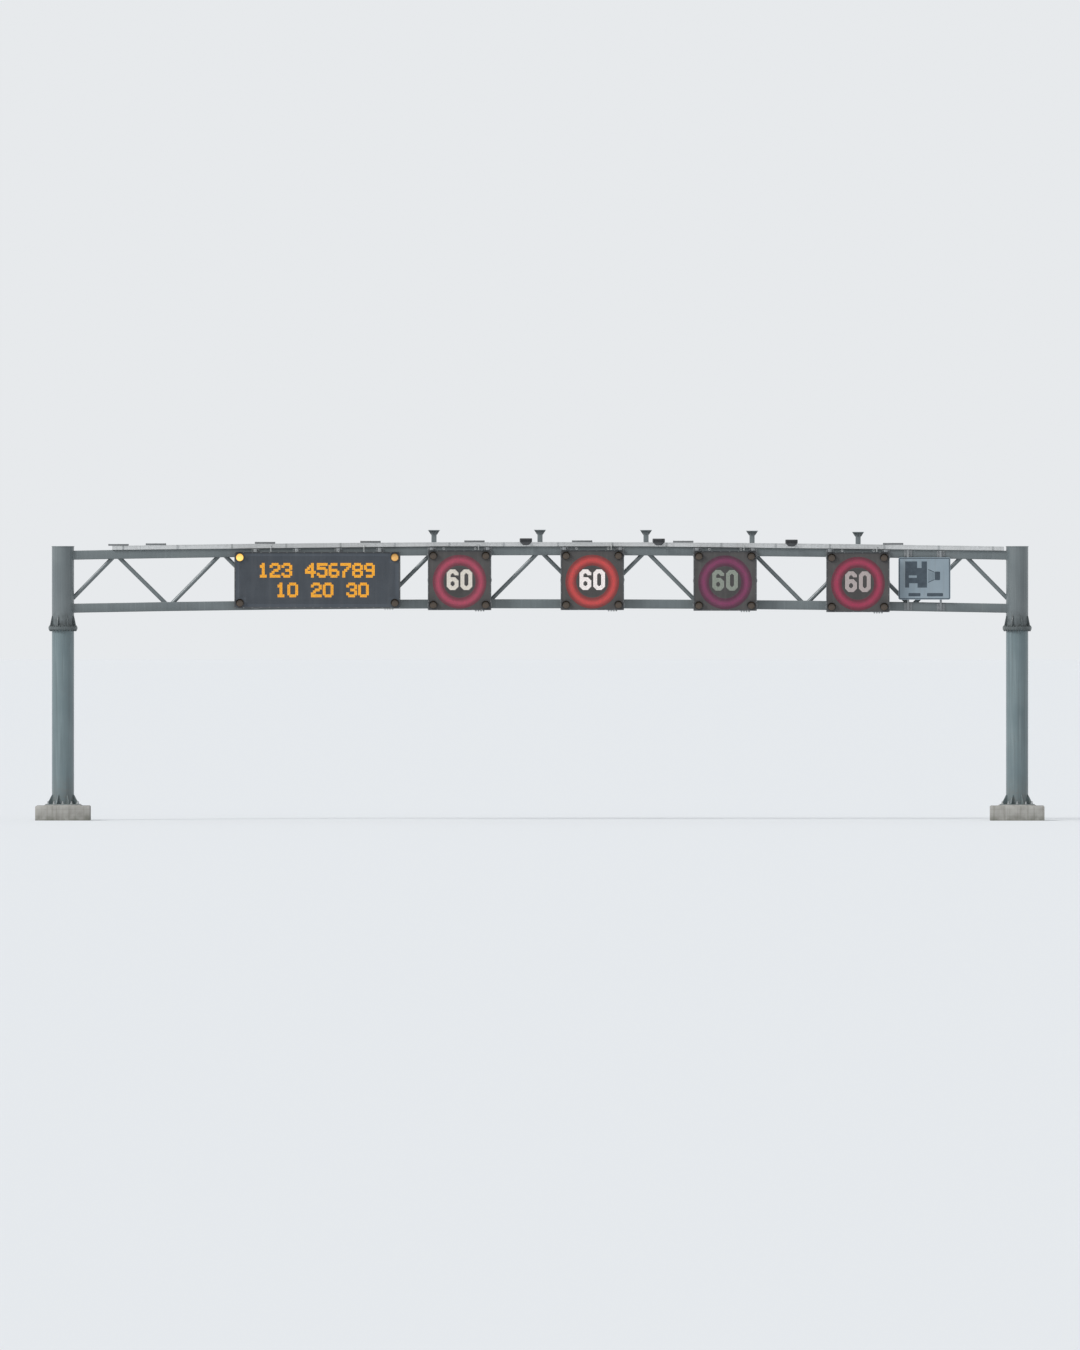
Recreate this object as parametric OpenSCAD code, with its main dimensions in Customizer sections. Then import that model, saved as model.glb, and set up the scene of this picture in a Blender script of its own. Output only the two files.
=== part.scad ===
// Overhead sign gantry in one clear span. Two tubular legs stand on concrete plinths and
// carry a cambered truss of square tubes, with the signs on rails along its front face.
// X runs along the span, -Y is the side that the signs face and +Z is up. The origin is at
// ground level, midway between the legs. All sizes are millimetres.

/* [Span and heights] */
// Distance between the leg centres
span = 26240; // [25000:10:30000]
// Height of the bottom chord's underside above the ground, at a leg
clearance = 5700; // [5000:10:7000]
// Rise of both chords at midspan
camber_rise = 130; // [0:5:250]
// Height of a leg's top above the top chord
leg_rise = 130; // [20:5:400]

/* [Truss] */
// Side of the square chord tubes
chord_side = 250; // [180:5:300]
// Distance between the chord centres
truss_depth = 1458; // [1300:1:1800]
// Number of triangles along the bottom chord
panels = 9; // [7:2:11]
// Diameter of the round diagonals
diagonal_d = 114.3; // [76:0.1:140]

/* [Legs] */
// Diameter of the leg tubes
leg_d = 610; // [450:1:700]
// Diameter of the bolted flanges that join upper to lower leg
flange_d = 800; // [740:5:900]
// Thickness of one flange plate
flange_t = 40; // [25:1:60]
// Distance from the bottom chord's centre down to the flange joint
flange_drop = 540; // [420:5:800]
// Thickness of the cap on a leg
cap_t = 12; // [6:1:20]
// Overhang of the cap past the tube
cap_lip = 8; // [0:1:15]
// Thickness of the gussets
gusset_t = 20; // [12:1:30]
// Number of gussets round a leg
gusset_count = 8; // [6:1:12]

/* [Feet] */
// Side of the square concrete plinth
plinth_side = 1500; // [1300:10:2000]
// Height of the plinth
plinth_h = 400; // [200:10:600]
// Chamfer along the plinth's top edges
plinth_chamfer = 25; // [10:5:40]
// Side of the square base plate
base_side = 960; // [900:5:1200]
// Thickness of the base plate
base_t = 45; // [30:1:60]
// Height of the gussets on the base plate
base_gusset_h = 260; // [150:5:400]

/* [Lane signals] */
// Width of a signal's cabinet
signal_w = 1740; // [1500:5:1800]
// Height of a signal's cabinet
signal_h = 1650; // [1500:5:1700]
// Depth of a signal's cabinet
signal_depth = 300; // [200:5:400]
// Distance between the signals' centres
lane_w = 3650; // [3500:5:3750]
// Place of the first signal along the span
signal_x = -2207; // [-2400:1:-2000]
// Drop of the cabinets' centre below the truss's middle
signal_drop = 75; // [0:5:120]

/* [Message sign] */
// Width of the message sign's cabinet
message_w = 4560; // [4000:10:4700]
// Height of the message sign's cabinet
message_h = 1550; // [1400:5:1650]
// Depth of the message sign's cabinet
message_depth = 340; // [250:5:400]
// Place of its centre along the span
message_x = -6115; // [-6300:5:-5900]
// Drop of its centre below the truss's middle
message_drop = 50; // [0:5:100]

/* [Camera sign] */
// Width of the plate
plate_w = 1430; // [1200:5:1450]
// Height of the plate
plate_h = 1165; // [1000:5:1200]
// Place of its centre along the span
plate_x = 10571; // [10550:1:10700]
// Rise of its centre above the truss's middle
plate_rise = 50; // [0:5:80]

/* [On the top chord] */
// Side of the square posts for a board
post_side = 140; // [100:5:150]
// Height of the posts' head plates above the chord
post_h = 450; // [350:10:900]
// Side of a post's head plate
head_side = 320; // [300:5:340]
// Thickness of the head plates
head_t = 20; // [12:1:30]
// Distance between the bolt holes of a head plate
head_hole_gap = 240; // [220:5:250]
// Diameter of those bolt holes
head_hole_d = 26; // [18:1:30]
// Height of the cable tray
tray_h = 110; // [60:5:120]
// Width of the cable tray
tray_w = 100; // [60:5:110]

/* [Hidden] */
$fn = 64;

LEFT = -1;
RIGHT = 1;
STEEL = "lightslategray";
DARK = "dimgray";

// Heights up a leg
leg_x = span / 2;
leg_r = leg_d / 2;
bottom_chord_z = clearance + chord_side / 2;
top_chord_z = bottom_chord_z + truss_depth;
truss_mid_z = (bottom_chord_z + top_chord_z) / 2;
leg_foot_z = plinth_h + base_t;
flange_joint_z = bottom_chord_z - flange_drop;
leg_top_z = top_chord_z + chord_side / 2 + leg_rise;
flange_gusset_h = 300;
flange_gusset_out = (flange_d - leg_d) / 2 - 15;
base_gusset_out = 150;

// Places along the truss
pitch = span / panels;
top_face = chord_side / 2;
front_y = -chord_side / 2;
function camber(x) = camber_rise * (1 - pow(2 * x / span, 2));
bottom_nodes = [for (i = [0:panels]) -leg_x + i * pitch];
top_nodes = concat([-leg_x], [for (i = [0:panels - 1]) -leg_x + (i + 0.5) * pitch], [leg_x]);

// Rails, cabinets and lanterns
cleat_t = 12;
cleat_w = 220;
cleat_h = 190;
rail_side = 100;
rail_inset = 30;
rail_y = front_y - cleat_t;
cabinet_y = rail_y - rail_side;
rim_w = 20;
face_t = 25;
lantern_d = 230;
lantern_t = 45;
hood_out = 130;
hood_wall = 4;
lantern_inset = 150;
message_rail_gap = message_w / 4;
message_rail_x = [for (i = [0:3]) message_x + (i - 1.5) * message_rail_gap];
signal_rail_reach = signal_w / 2 - rail_side;
signal_rail_x = [for (lane = [0:3], end = [LEFT, RIGHT])
    signal_x + lane * lane_w + end * signal_rail_reach];

// Camera sign
plate_t = 5;
plate_rail_side = 60;
plate_rail_gap = 900;
plate_rail_x = [plate_x - plate_rail_gap / 2, plate_x + plate_rail_gap / 2];
channel_depth = 25;
channel_h = 45;
channel_inset = 40;

// Fittings on the top chord
seat_trim = 20;
board_post_steps = [-1:3];
tray_wall_clear = 5;
tray_y = -post_side / 2 - tray_wall_clear;
tray_start = -leg_x + pitch / 2 - 100;
tray_end = leg_x - leg_r - 60;
box_x = [-11590, -10560, -7560, -4660, -1800, 1160, 3940, 9710];
box_w = 560;
box_h = 50;
box_overhang = 8;
luminaire_x = [for (i = [0:2]) signal_x + (i + 0.5) * lane_w];
luminaire_w = 340;
luminaire_depth = 240;
luminaire_h = 180;
luminaire_foot_w = 150;
luminaire_rise = 30;
bracket_side = 80;
bracket_rise = 190;
arm_reach = 420;
arm_side = 60;

// A prism of square section that follows the camber through the given stations
module chord_run(stations, z, half_h, side) {
    top = [for (x = stations) [x, z + camber(x) + half_h]];
    low = [for (i = [len(stations) - 1:-1:0])
        [stations[i], z + camber(stations[i]) - half_h]];
    translate([0, side / 2, 0]) rotate([90, 0, 0])
        linear_extrude(height = side) polygon(concat(top, low));
}

module leg_core(side) {
    translate([side * leg_x, 0, 0]) cylinder(h = leg_top_z, r = leg_r);
}

// A square block whose outline, the same from both sides, has chamfered top edges
module plinth(side) {
    h = plinth_side / 2;
    c = plinth_chamfer;
    outline = [
        [-h, 0], [h, 0], [h, plinth_h - c], [h - c, plinth_h],
        [-h + c, plinth_h], [-h, plinth_h - c]
    ];
    color("darkgray") translate([side * leg_x, 0, 0]) intersection() {
        translate([0, h, 0]) rotate([90, 0, 0])
            linear_extrude(height = plinth_side) polygon(outline);
        translate([-h, 0, 0]) rotate([90, 0, 90])
            linear_extrude(height = plinth_side) polygon(outline);
    }
}

module base_plate(side) {
    color(STEEL) translate([side * leg_x - base_side / 2, -base_side / 2, plinth_h])
        cube([base_side, base_side, base_t]);
}

module lower_leg(side) {
    color(STEEL) translate([side * leg_x, 0, leg_foot_z])
        cylinder(h = flange_joint_z - flange_t - leg_foot_z, r = leg_r);
}

module lower_flange(side) {
    color(STEEL) translate([side * leg_x, 0, flange_joint_z - flange_t])
        cylinder(h = flange_t, d = flange_d);
}

module upper_flange(side) {
    color(STEEL) translate([side * leg_x, 0, flange_joint_z])
        cylinder(h = flange_t, d = flange_d);
}

module upper_leg(side) {
    foot = flange_joint_z + flange_t;
    color(STEEL) translate([side * leg_x, 0, foot])
        cylinder(h = leg_top_z - cap_t - foot, r = leg_r);
}

module leg_caps() {
    for (side = [LEFT, RIGHT])
        color(STEEL) translate([side * leg_x, 0, leg_top_z - cap_t])
            cylinder(h = cap_t, r = leg_r + cap_lip);
}

// A ring of triangular gussets that stand on a plate at height z
module gusset_ring(z, h, out) {
    toe = 20;
    for (i = [0:gusset_count - 1])
        rotate([0, 0, (i + 0.5) * 360 / gusset_count])
            translate([leg_r, gusset_t / 2, z]) rotate([90, 0, 0])
                linear_extrude(height = gusset_t)
                    polygon([[0, 0], [out, 0], [out, toe], [toe, h], [0, h]]);
}

module leg_gussets(side) {
    color(STEEL) translate([side * leg_x, 0, 0]) {
        gusset_ring(leg_foot_z, base_gusset_h, base_gusset_out);
        gusset_ring(flange_joint_z + flange_t, flange_gusset_h, flange_gusset_out);
    }
}

module chord(stations, z) {
    color(STEEL) difference() {
        chord_run(stations, z, chord_side / 2, chord_side);
        leg_core(LEFT);
        leg_core(RIGHT);
    }
}

module bottom_chord() { chord(bottom_nodes, bottom_chord_z); }

module top_chord() { chord(top_nodes, top_chord_z); }

// One round bar between two points of the truss's plane
module bar(a, b) {
    run = b - a;
    length = norm(run);
    translate([a[0], 0, a[1]]) rotate([0, atan2(run[0], run[1]), 0])
        cylinder(h = length, d = diagonal_d);
}

// The space between the chords, which trims the diagonals flush
module truss_gap() {
    top = [for (x = top_nodes) [x, top_chord_z + camber(x) - chord_side / 2]];
    low = [for (i = [panels:-1:0])
        [bottom_nodes[i], bottom_chord_z + camber(bottom_nodes[i]) + chord_side / 2]];
    translate([0, diagonal_d, 0]) rotate([90, 0, 0])
        linear_extrude(height = 2 * diagonal_d) polygon(concat(top, low));
}

module truss_diagonals() {
    for (i = [0:panels - 1], end = [0, 1]) {
        low = [bottom_nodes[i + end], bottom_chord_z + camber(bottom_nodes[i + end])];
        high = [top_nodes[i + 1], top_chord_z + camber(top_nodes[i + 1])];
        color(STEEL) difference() {
            intersection() {
                bar(low, high);
                truss_gap();
            }
            leg_core(LEFT);
            leg_core(RIGHT);
        }
    }
}

// One upright rail in front of both chords
module rail(x, side) {
    low = bottom_chord_z + camber(x) - chord_side / 2 + rail_inset;
    high = top_chord_z + camber(x) + chord_side / 2 - rail_inset;
    translate([x - side / 2, rail_y - side, low]) cube([side, side, high - low]);
}

module message_sign_rails() {
    color(STEEL) for (x = message_rail_x) rail(x, rail_side);
}

module lane_signal_rails() {
    color(STEEL) for (x = signal_rail_x) rail(x, rail_side);
}

module camera_sign_rails() {
    color(STEEL) for (x = plate_rail_x) rail(x, plate_rail_side);
}

// The plates between the chords' front faces and the rails
module rail_cleats() {
    color(STEEL)
        for (x = concat(message_rail_x, signal_rail_x, plate_rail_x), z = [bottom_chord_z, top_chord_z])
            translate([x - cleat_w / 2, rail_y, z + camber(x) - cleat_h / 2])
                cube([cleat_w, cleat_t, cleat_h]);
}

// A closed cabinet, hung on the front of its rails
module cabinet(w, h, depth) {
    color(DARK) translate([-w / 2, cabinet_y - depth, -h / 2]) cube([w, depth, h]);
}

// The panel that closes a cabinet's front, inside a narrow rim
module front_panel(w, h, depth) {
    color("black") translate([-w / 2 + rim_w, cabinet_y - depth - face_t, -h / 2 + rim_w])
        cube([w - 2 * rim_w, face_t, h - 2 * rim_w]);
}

// A round lantern with a hood over its upper half
module lantern() {
    color("goldenrod") rotate([90, 0, 0]) {
        cylinder(h = lantern_t, d = lantern_d);
        difference() {
            cylinder(h = hood_out, d = lantern_d);
            translate([0, 0, -1]) cylinder(h = hood_out + 2, d = lantern_d - 2 * hood_wall);
            translate([-lantern_d, -lantern_d - 30, lantern_t])
                cube([2 * lantern_d, lantern_d, hood_out]);
        }
    }
}

module lanterns(w, h, depth) {
    for (sx = [-1, 1], sz = [-1, 1])
        translate([
            sx * (w / 2 - lantern_inset), cabinet_y - depth - face_t,
            sz * (h / 2 - lantern_inset)
        ])
            lantern();
}

module at_signal(lane) {
    x = signal_x + (lane - 1) * lane_w;
    translate([x, 0, truss_mid_z + camber(x) - signal_drop]) children();
}

module lane_signal_case(lane) { at_signal(lane) cabinet(signal_w, signal_h, signal_depth); }

module lane_signal_face(lane) { at_signal(lane) front_panel(signal_w, signal_h, signal_depth); }

module lane_signal_lanterns(lane) { at_signal(lane) lanterns(signal_w, signal_h, signal_depth); }

module at_message() {
    translate([message_x, 0, truss_mid_z + camber(message_x) - message_drop]) children();
}

module message_sign_case() { at_message() cabinet(message_w, message_h, message_depth); }

module message_sign_face() { at_message() front_panel(message_w, message_h, message_depth); }

module message_sign_lanterns() { at_message() lanterns(message_w, message_h, message_depth); }

module at_camera_sign() {
    translate([plate_x, rail_y - plate_rail_side, truss_mid_z + camber(plate_x) + plate_rise])
        children();
}

module camera_sign_plate() {
    color("lightsteelblue") at_camera_sign()
        translate([-plate_w / 2, -plate_t - channel_depth, -plate_h / 2])
            cube([plate_w, plate_t, plate_h]);
}

// The channels that stiffen the plate and clip to the rails
module camera_sign_channels() {
    color("silver") at_camera_sign()
        for (z = [-plate_h / 4, plate_h / 4])
            translate([-plate_w / 2 + channel_inset, -channel_depth, z - channel_h / 2])
                cube([plate_w - 2 * channel_inset, channel_depth, channel_h]);
}

// Takes the top chord out of what stands on it, so that its foot meets the cambered face
module on_chord() {
    difference() {
        children();
        chord_run(top_nodes, top_chord_z, chord_side / 2, 2 * chord_side);
    }
}

function chord_top(x) = top_chord_z + camber(x) + top_face;

module board_posts() {
    color(STEEL) for (step = board_post_steps) on_chord() {
        x = step * pitch;
        translate([x - post_side / 2, -post_side / 2, chord_top(x) - seat_trim])
            cube([post_side, post_side, post_h - head_t + seat_trim]);
    }
}

module board_post_heads() {
    color(STEEL) for (step = board_post_steps) {
        x = step * pitch;
        translate([x, 0, chord_top(x) + post_h - head_t]) difference() {
            translate([-head_side / 2, -head_side / 2, 0])
                cube([head_side, head_side, head_t]);
            for (sx = [-1, 1], sy = [-1, 1])
                translate([sx * head_hole_gap / 2, sy * head_hole_gap / 2, -1])
                    cylinder(h = head_t + 2, d = head_hole_d);
        }
    }
}

// A short upright with an arm that reaches forward over the cable tray
module luminaire_brackets() {
    color(STEEL) for (x = luminaire_x) on_chord() {
        z = chord_top(x);
        translate([x - bracket_side / 2, -bracket_side / 2, z - seat_trim])
            cube([bracket_side, bracket_side, bracket_rise + seat_trim]);
        translate([x - arm_side / 2, -arm_reach, z + bracket_rise - arm_side])
            cube([arm_side, arm_reach, arm_side]);
    }
}

// Housings that narrow downwards, hung on the ends of the arms
module luminaires() {
    w = luminaire_w / 2;
    foot = luminaire_foot_w / 2;
    waist = luminaire_h / 2;
    for (x = luminaire_x)
        color("silver") translate([x, -arm_reach, chord_top(x) + luminaire_rise])
            rotate([90, 0, 0]) linear_extrude(height = luminaire_depth) polygon([
                [-foot, 0], [foot, 0], [w, waist], [w, luminaire_h],
                [-w, luminaire_h], [-w, waist]
            ]);
}

// A closed tray along the front of the top chord
module cable_tray() {
    inner = [for (x = top_nodes) if (x > tray_start && x < tray_end) x];
    stations = concat([tray_start], inner, [tray_end]);
    color("lightgray") on_chord() translate([0, tray_y - tray_w / 2, 0])
        chord_run(stations, top_chord_z + top_face + tray_h / 2, tray_h / 2, tray_w);
}

// Flat boxes that sit on the tray's lid
module tray_boxes() {
    color("gray") for (x = box_x)
        translate([x - box_w / 2, tray_y - tray_w - box_overhang, chord_top(x) + tray_h])
            cube([box_w, tray_w, box_h]);
}

plinth(LEFT);  // plinth_left
plinth(RIGHT);  // plinth_right
base_plate(LEFT);  // base_plate_left
base_plate(RIGHT);  // base_plate_right
lower_leg(LEFT);  // lower_leg_left
lower_leg(RIGHT);  // lower_leg_right
lower_flange(LEFT);  // lower_flange_left
lower_flange(RIGHT);  // lower_flange_right
upper_flange(LEFT);  // upper_flange_left
upper_flange(RIGHT);  // upper_flange_right
leg_gussets(LEFT);  // leg_gussets_left
leg_gussets(RIGHT);  // leg_gussets_right
upper_leg(LEFT);  // upper_leg_left
upper_leg(RIGHT);  // upper_leg_right
leg_caps();
bottom_chord();
top_chord();
truss_diagonals();
message_sign_rails();
message_sign_case();
message_sign_face();
message_sign_lanterns();
lane_signal_rails();
rail_cleats();
lane_signal_case(1);  // lane_signal_1_case
lane_signal_case(2);  // lane_signal_2_case
lane_signal_case(3);  // lane_signal_3_case
lane_signal_case(4);  // lane_signal_4_case
lane_signal_face(1);  // lane_signal_1_face
lane_signal_face(2);  // lane_signal_2_face
lane_signal_face(3);  // lane_signal_3_face
lane_signal_face(4);  // lane_signal_4_face
lane_signal_lanterns(1);  // lane_signal_1_lanterns
lane_signal_lanterns(2);  // lane_signal_2_lanterns
lane_signal_lanterns(3);  // lane_signal_3_lanterns
lane_signal_lanterns(4);  // lane_signal_4_lanterns
camera_sign_rails();
camera_sign_plate();
camera_sign_channels();
board_posts();
board_post_heads();
luminaire_brackets();
luminaires();
cable_tray();
tray_boxes();
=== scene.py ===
import math

import bmesh
import bpy
from mathutils import Matrix, Vector


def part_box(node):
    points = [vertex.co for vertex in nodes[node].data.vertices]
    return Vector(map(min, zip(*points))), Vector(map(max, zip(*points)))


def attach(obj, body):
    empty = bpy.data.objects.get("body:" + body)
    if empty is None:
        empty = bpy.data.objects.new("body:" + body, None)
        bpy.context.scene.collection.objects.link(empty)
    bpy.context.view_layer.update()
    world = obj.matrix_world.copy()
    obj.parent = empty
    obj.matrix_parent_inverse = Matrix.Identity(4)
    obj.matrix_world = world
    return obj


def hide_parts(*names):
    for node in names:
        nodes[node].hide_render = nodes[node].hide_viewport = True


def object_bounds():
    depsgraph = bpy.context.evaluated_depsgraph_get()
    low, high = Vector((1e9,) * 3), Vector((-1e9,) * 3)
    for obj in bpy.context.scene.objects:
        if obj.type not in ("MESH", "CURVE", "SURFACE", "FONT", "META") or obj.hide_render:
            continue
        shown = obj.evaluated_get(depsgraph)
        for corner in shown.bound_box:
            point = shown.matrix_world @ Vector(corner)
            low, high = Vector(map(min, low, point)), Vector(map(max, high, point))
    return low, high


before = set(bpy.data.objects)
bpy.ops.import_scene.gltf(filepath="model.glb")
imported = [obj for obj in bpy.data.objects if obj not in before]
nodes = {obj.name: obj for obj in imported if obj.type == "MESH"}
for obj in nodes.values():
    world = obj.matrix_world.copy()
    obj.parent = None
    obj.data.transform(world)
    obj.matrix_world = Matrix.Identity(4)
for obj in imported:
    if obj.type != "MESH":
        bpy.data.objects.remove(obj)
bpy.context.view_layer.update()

# Viewpoint, floor and light
# The camera stands far off in front, a little right of midspan and above the truss, with
# a very long lens. The light is bright haze with a soft sun from the left.
IMAGE_W, IMAGE_H = 1080, 1350
LONG_SIDE_SENSOR = 36.0
VIEWPOINT = Vector((9.8, -975.0, 11.6))
VIEW_WIDTH = 29.7
PALE, SKYLIGHT = (0.80, 0.82, 0.84), (0.93, 0.96, 1.0)
FLOOR_RADIUS, FLOOR_SIDES = 600.0, 96
SUN_TILT, SUN_TURN, SUN_SOFTNESS = math.radians(52), math.radians(-58), math.radians(20)
SUN_STRENGTH, SKY_STRENGTH = 2.2, 0.66


def in_scene(name, data):
    """A new object in the scene."""
    made = bpy.data.objects.new(name, data)
    bpy.context.scene.collection.objects.link(made)
    return made


def put(inputs, values):
    """Links or sets a node's inputs by name or number."""
    for name, value in values.items():
        for one in value if isinstance(value, list) else [value]:
            if isinstance(one, bpy.types.NodeSocket):
                one.id_data.links.new(one, inputs[name])
            else:
                inputs[name].default_value = (*one, 1.0) if inputs[name].type == "RGBA" else one


def add(kind, values=None, tree=None, **settings):
    """The outputs of a new node, in the tree given or the one that its inputs are linked from."""
    values = values or {}
    tree = tree or next(v for v in values.values() if isinstance(v, bpy.types.NodeSocket)).id_data
    made = tree.nodes.new(kind)
    for name, value in settings.items():
        setattr(made, name, value)
    put(made.inputs, values)
    return made.outputs


def calc(how, a, b=0.0):
    """The result of a sum on one linked value or two."""
    return add("ShaderNodeMath", {0: a, 1: b}, operation=how)[0]


def shader(name, roughness, metallic=0.0):
    """A new material, with its Principled shader's inputs and the Object coordinates."""
    made = bpy.data.materials.new(name)
    made.use_nodes = True
    surface = made.node_tree.nodes["Principled BSDF"].inputs
    put(surface, {"Roughness": roughness, "Metallic": metallic})
    return made, surface, add("ShaderNodeTexCoord", tree=made.node_tree)["Object"]


def circle(centre, radius, count, upright=False):
    """Points round a circle that lies level, or stands and faces forwards."""
    turns = [math.tau * i / count for i in range(count)]
    spokes = [(math.cos(a), 0, math.sin(a)) if upright else (math.cos(a), math.sin(a), 0) for a in turns]
    return [centre + radius * Vector(spoke) for spoke in spokes]


lowest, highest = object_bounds()
aim = (lowest + highest) / 2
camera_data = bpy.data.cameras.new("camera")
camera_data.sensor_width = LONG_SIDE_SENSOR
camera_data.lens = LONG_SIDE_SENSOR * (aim - VIEWPOINT).length / (VIEW_WIDTH * IMAGE_H / IMAGE_W)
camera_data.clip_start, camera_data.clip_end = 100.0, 2000.0
camera = in_scene("camera", camera_data)
camera.location = VIEWPOINT
camera.rotation_euler = (aim - VIEWPOINT).to_track_quat("-Z", "Y").to_euler()
bpy.context.scene.camera = camera
bpy.context.scene.view_settings.view_transform = "Standard"

sun_data = bpy.data.lights.new("soft_sun", "SUN")
sun_data.energy = SUN_STRENGTH
sun_data.angle = SUN_SOFTNESS
sun = in_scene("soft_sun", sun_data)
sun.rotation_euler = (SUN_TILT, 0.0, SUN_TURN)

world = bpy.data.worlds.new("overcast")
bpy.context.scene.world = world
world.use_nodes = True
sky = world.node_tree
sky.nodes.clear()
ray = add("ShaderNodeLightPath", tree=sky)
seen = calc("MAXIMUM", ray["Is Camera Ray"], ray["Is Glossy Ray"])
seen = calc("MAXIMUM", seen, ray["Is Transmission Ray"])
lighting = add("ShaderNodeBackground", {"Color": SKYLIGHT, "Strength": SKY_STRENGTH}, sky)[0]
backdrop = add("ShaderNodeBackground", {"Color": PALE, "Strength": 1.0}, sky)[0]
both = add("ShaderNodeMixShader", {0: seen, 1: lighting, 2: backdrop})[0]
add("ShaderNodeOutputWorld", {0: both})

floor_mesh = bpy.data.meshes.new("floor")
rim = circle(Vector((0, 0, lowest.z)), FLOOR_RADIUS, FLOOR_SIDES)
floor_mesh.from_pydata(rim, [], [list(range(FLOOR_SIDES))])
floor_paint, surface = shader("pale_floor", 0.95)[:2]
put(surface, {"Base Color": (0.74, 0.755, 0.765)})
floor_mesh.materials.append(floor_paint)
in_scene("floor", floor_mesh)

# Concrete plinths
# Square blocks cast in boards on site, with chamfered top edges. They are softened copies
# of the frame's blocks in pored, rain-streaked concrete, with a mortar fillet on top.
SIDES = ("left", "right")
MORTAR = ((0, 0), (0.045, 0), (0.0405, 0.006), (0.018, 0.024), (0, 0.030))
CORNERS = ((-1, -1), (1, -1), (1, 1), (-1, 1))


def half_size(node):
    """Half of a frame node's size along each axis."""
    low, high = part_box(node)
    return (high - low) / 2


def times(a, b):
    """The product of a linked value and another."""
    return calc("MULTIPLY", a, b)


def ranged(value, low, high, first=0.0, last=1.0, **how):
    """A value read between two levels, as first to last."""
    return add("ShaderNodeMapRange", {"Value": value, "From Min": low, "From Max": high,
                                      "To Min": first, "To Max": last}, **how)[0]


def noise(where, scale, low=0.3, high=0.7, stretch=(1, 1, 1), detail=4.0):
    """Noise of a scale per metre, read between two of its levels as 0 to 1."""
    place = add("ShaderNodeMapping", {"Vector": where, "Scale": stretch})[0]
    raw = add("ShaderNodeTexNoise", {"Vector": place, "Scale": scale, "Detail": detail})[0]
    return ranged(raw, low, high)


def streaks(where, low, high, across, down):
    """Noise drawn out into upright streaks."""
    return noise(where, 1.0, low, high, (across, across, down))


def component(vector, axis):
    """One component of a vector or a colour."""
    return add("ShaderNodeSeparateXYZ", {0: vector})[axis]


def low_down(where, low, high):
    """1 below a height and 0 above another."""
    return ranged(component(where, "Z"), high, low)


def dust(where, facing, scale, low, high):
    """Patches of noise on the faces that look up by more than a level."""
    normal = add("ShaderNodeNewGeometry", tree=where.id_data)["Normal"]
    return times(ranged(component(normal, "Z"), facing, 0.95), noise(where, scale, low, high))


def grooves(where, axis, step, width):
    """1 along thin lines at every step on an axis, and 0 between them."""
    return ranged(calc("PINGPONG", component(where, axis), step / 2), width, width / 2)


def blend(amount, under, over, how="MIX"):
    """One colour laid over another by an amount."""
    return add("ShaderNodeMixRGB", {0: amount, 1: under, 2: over}, blend_type=how)[0]


def layered(colour, *layers):
    """A colour under layers of others, each with its mask and its amount."""
    for mask, amount, tint in layers:
        colour = blend(times(mask, amount), colour, tint)
    return colour


def cloudy(where, scale, dark, light, *layers):
    """Clouds of two tones, under layers of other colours."""
    return layered(blend(noise(where, scale), dark, light), *layers)


def cells(where, scale):
    """The distances in a regular grid of small cells."""
    return add("ShaderNodeTexVoronoi", {"Vector": where, "Scale": scale, "Randomness": 0.0})["Distance"]


def relief(surface, height, distance, strength=1.0):
    """Bump of a height in metres on a shader."""
    bump = add("ShaderNodeBump", {"Height": height, "Distance": distance, "Strength": strength})
    put(surface, {"Normal": bump[0]})


concrete, surface, where = shader("cast_concrete", 0.9)
damp = times(low_down(where, 0.03, 0.20), noise(where, 5.0, 0.3, 0.6))
sand = noise(where, 150.0, 0.25, 0.75, detail=6.0)
pores = times(noise(where, 6.0, 0.45, 0.60), noise(where, 150.0, 0.33, 0.27, detail=1.0))
boards = grooves(where, "Z", 0.10, 0.0035)
mottle = blend(noise(where, 3.5, detail=8.0), (0.30, 0.29, 0.265), (0.44, 0.43, 0.40))
put(surface, {"Base Color": layered(
    mottle, (streaks(where, 0.5, 0.68, 14, 0.7), 0.45, (0.17, 0.165, 0.14)),
    (damp, 0.7, (0.13, 0.135, 0.105)), (sand, 0.22, (0.20, 0.195, 0.18)),
    (pores, 0.7, (0.085, 0.08, 0.075)), (boards, 0.35, (0.15, 0.145, 0.13)))})
relief(surface, calc("SUBTRACT", calc("SUBTRACT", sand, pores), boards), 0.002)


def piece(name, shape, finish, slot="galvanised_steel", *replaced, sharpest=38):
    """A mesh or bmesh as a finished piece, smooth but for its sharp edges, that rides on the gantry."""
    mesh = shape
    if isinstance(shape, bmesh.types.BMesh):
        bmesh.ops.recalc_face_normals(shape, faces=shape.faces)
        mesh = bpy.data.meshes.new(name)
        shape.to_mesh(mesh)
        shape.free()
    mesh.name = name
    if not mesh.materials:
        for one in finish if isinstance(finish, tuple) else (finish,):
            mesh.materials.append(one)
    mesh.polygons.foreach_set("use_smooth", [True] * len(mesh.polygons))
    mesh.set_sharp_from_angle(angle=math.radians(sharpest))
    made = in_scene(name, mesh)
    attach(made, "root")
    if replaced:
        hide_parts(*replaced)
    return made


def merged(node):
    """A bmesh of a frame node, whose doubled points are merged."""
    bm = bmesh.new()
    bm.from_mesh(nodes[node].data)
    bmesh.ops.remove_doubles(bm, verts=bm.verts, dist=0.00002)
    return bm


def round_edges(bm, width, segments=1):
    """Bevels the edges of a bmesh that turn by more than 35 degrees."""
    turned = [e for e in bm.edges if len(e.link_faces) == 2 and e.calc_face_angle(0) > math.radians(35)]
    bmesh.ops.bevel(bm, geom=turned, offset=width, segments=segments, profile=0.5,
                    affect="EDGES", clamp_overlap=True)


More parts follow.
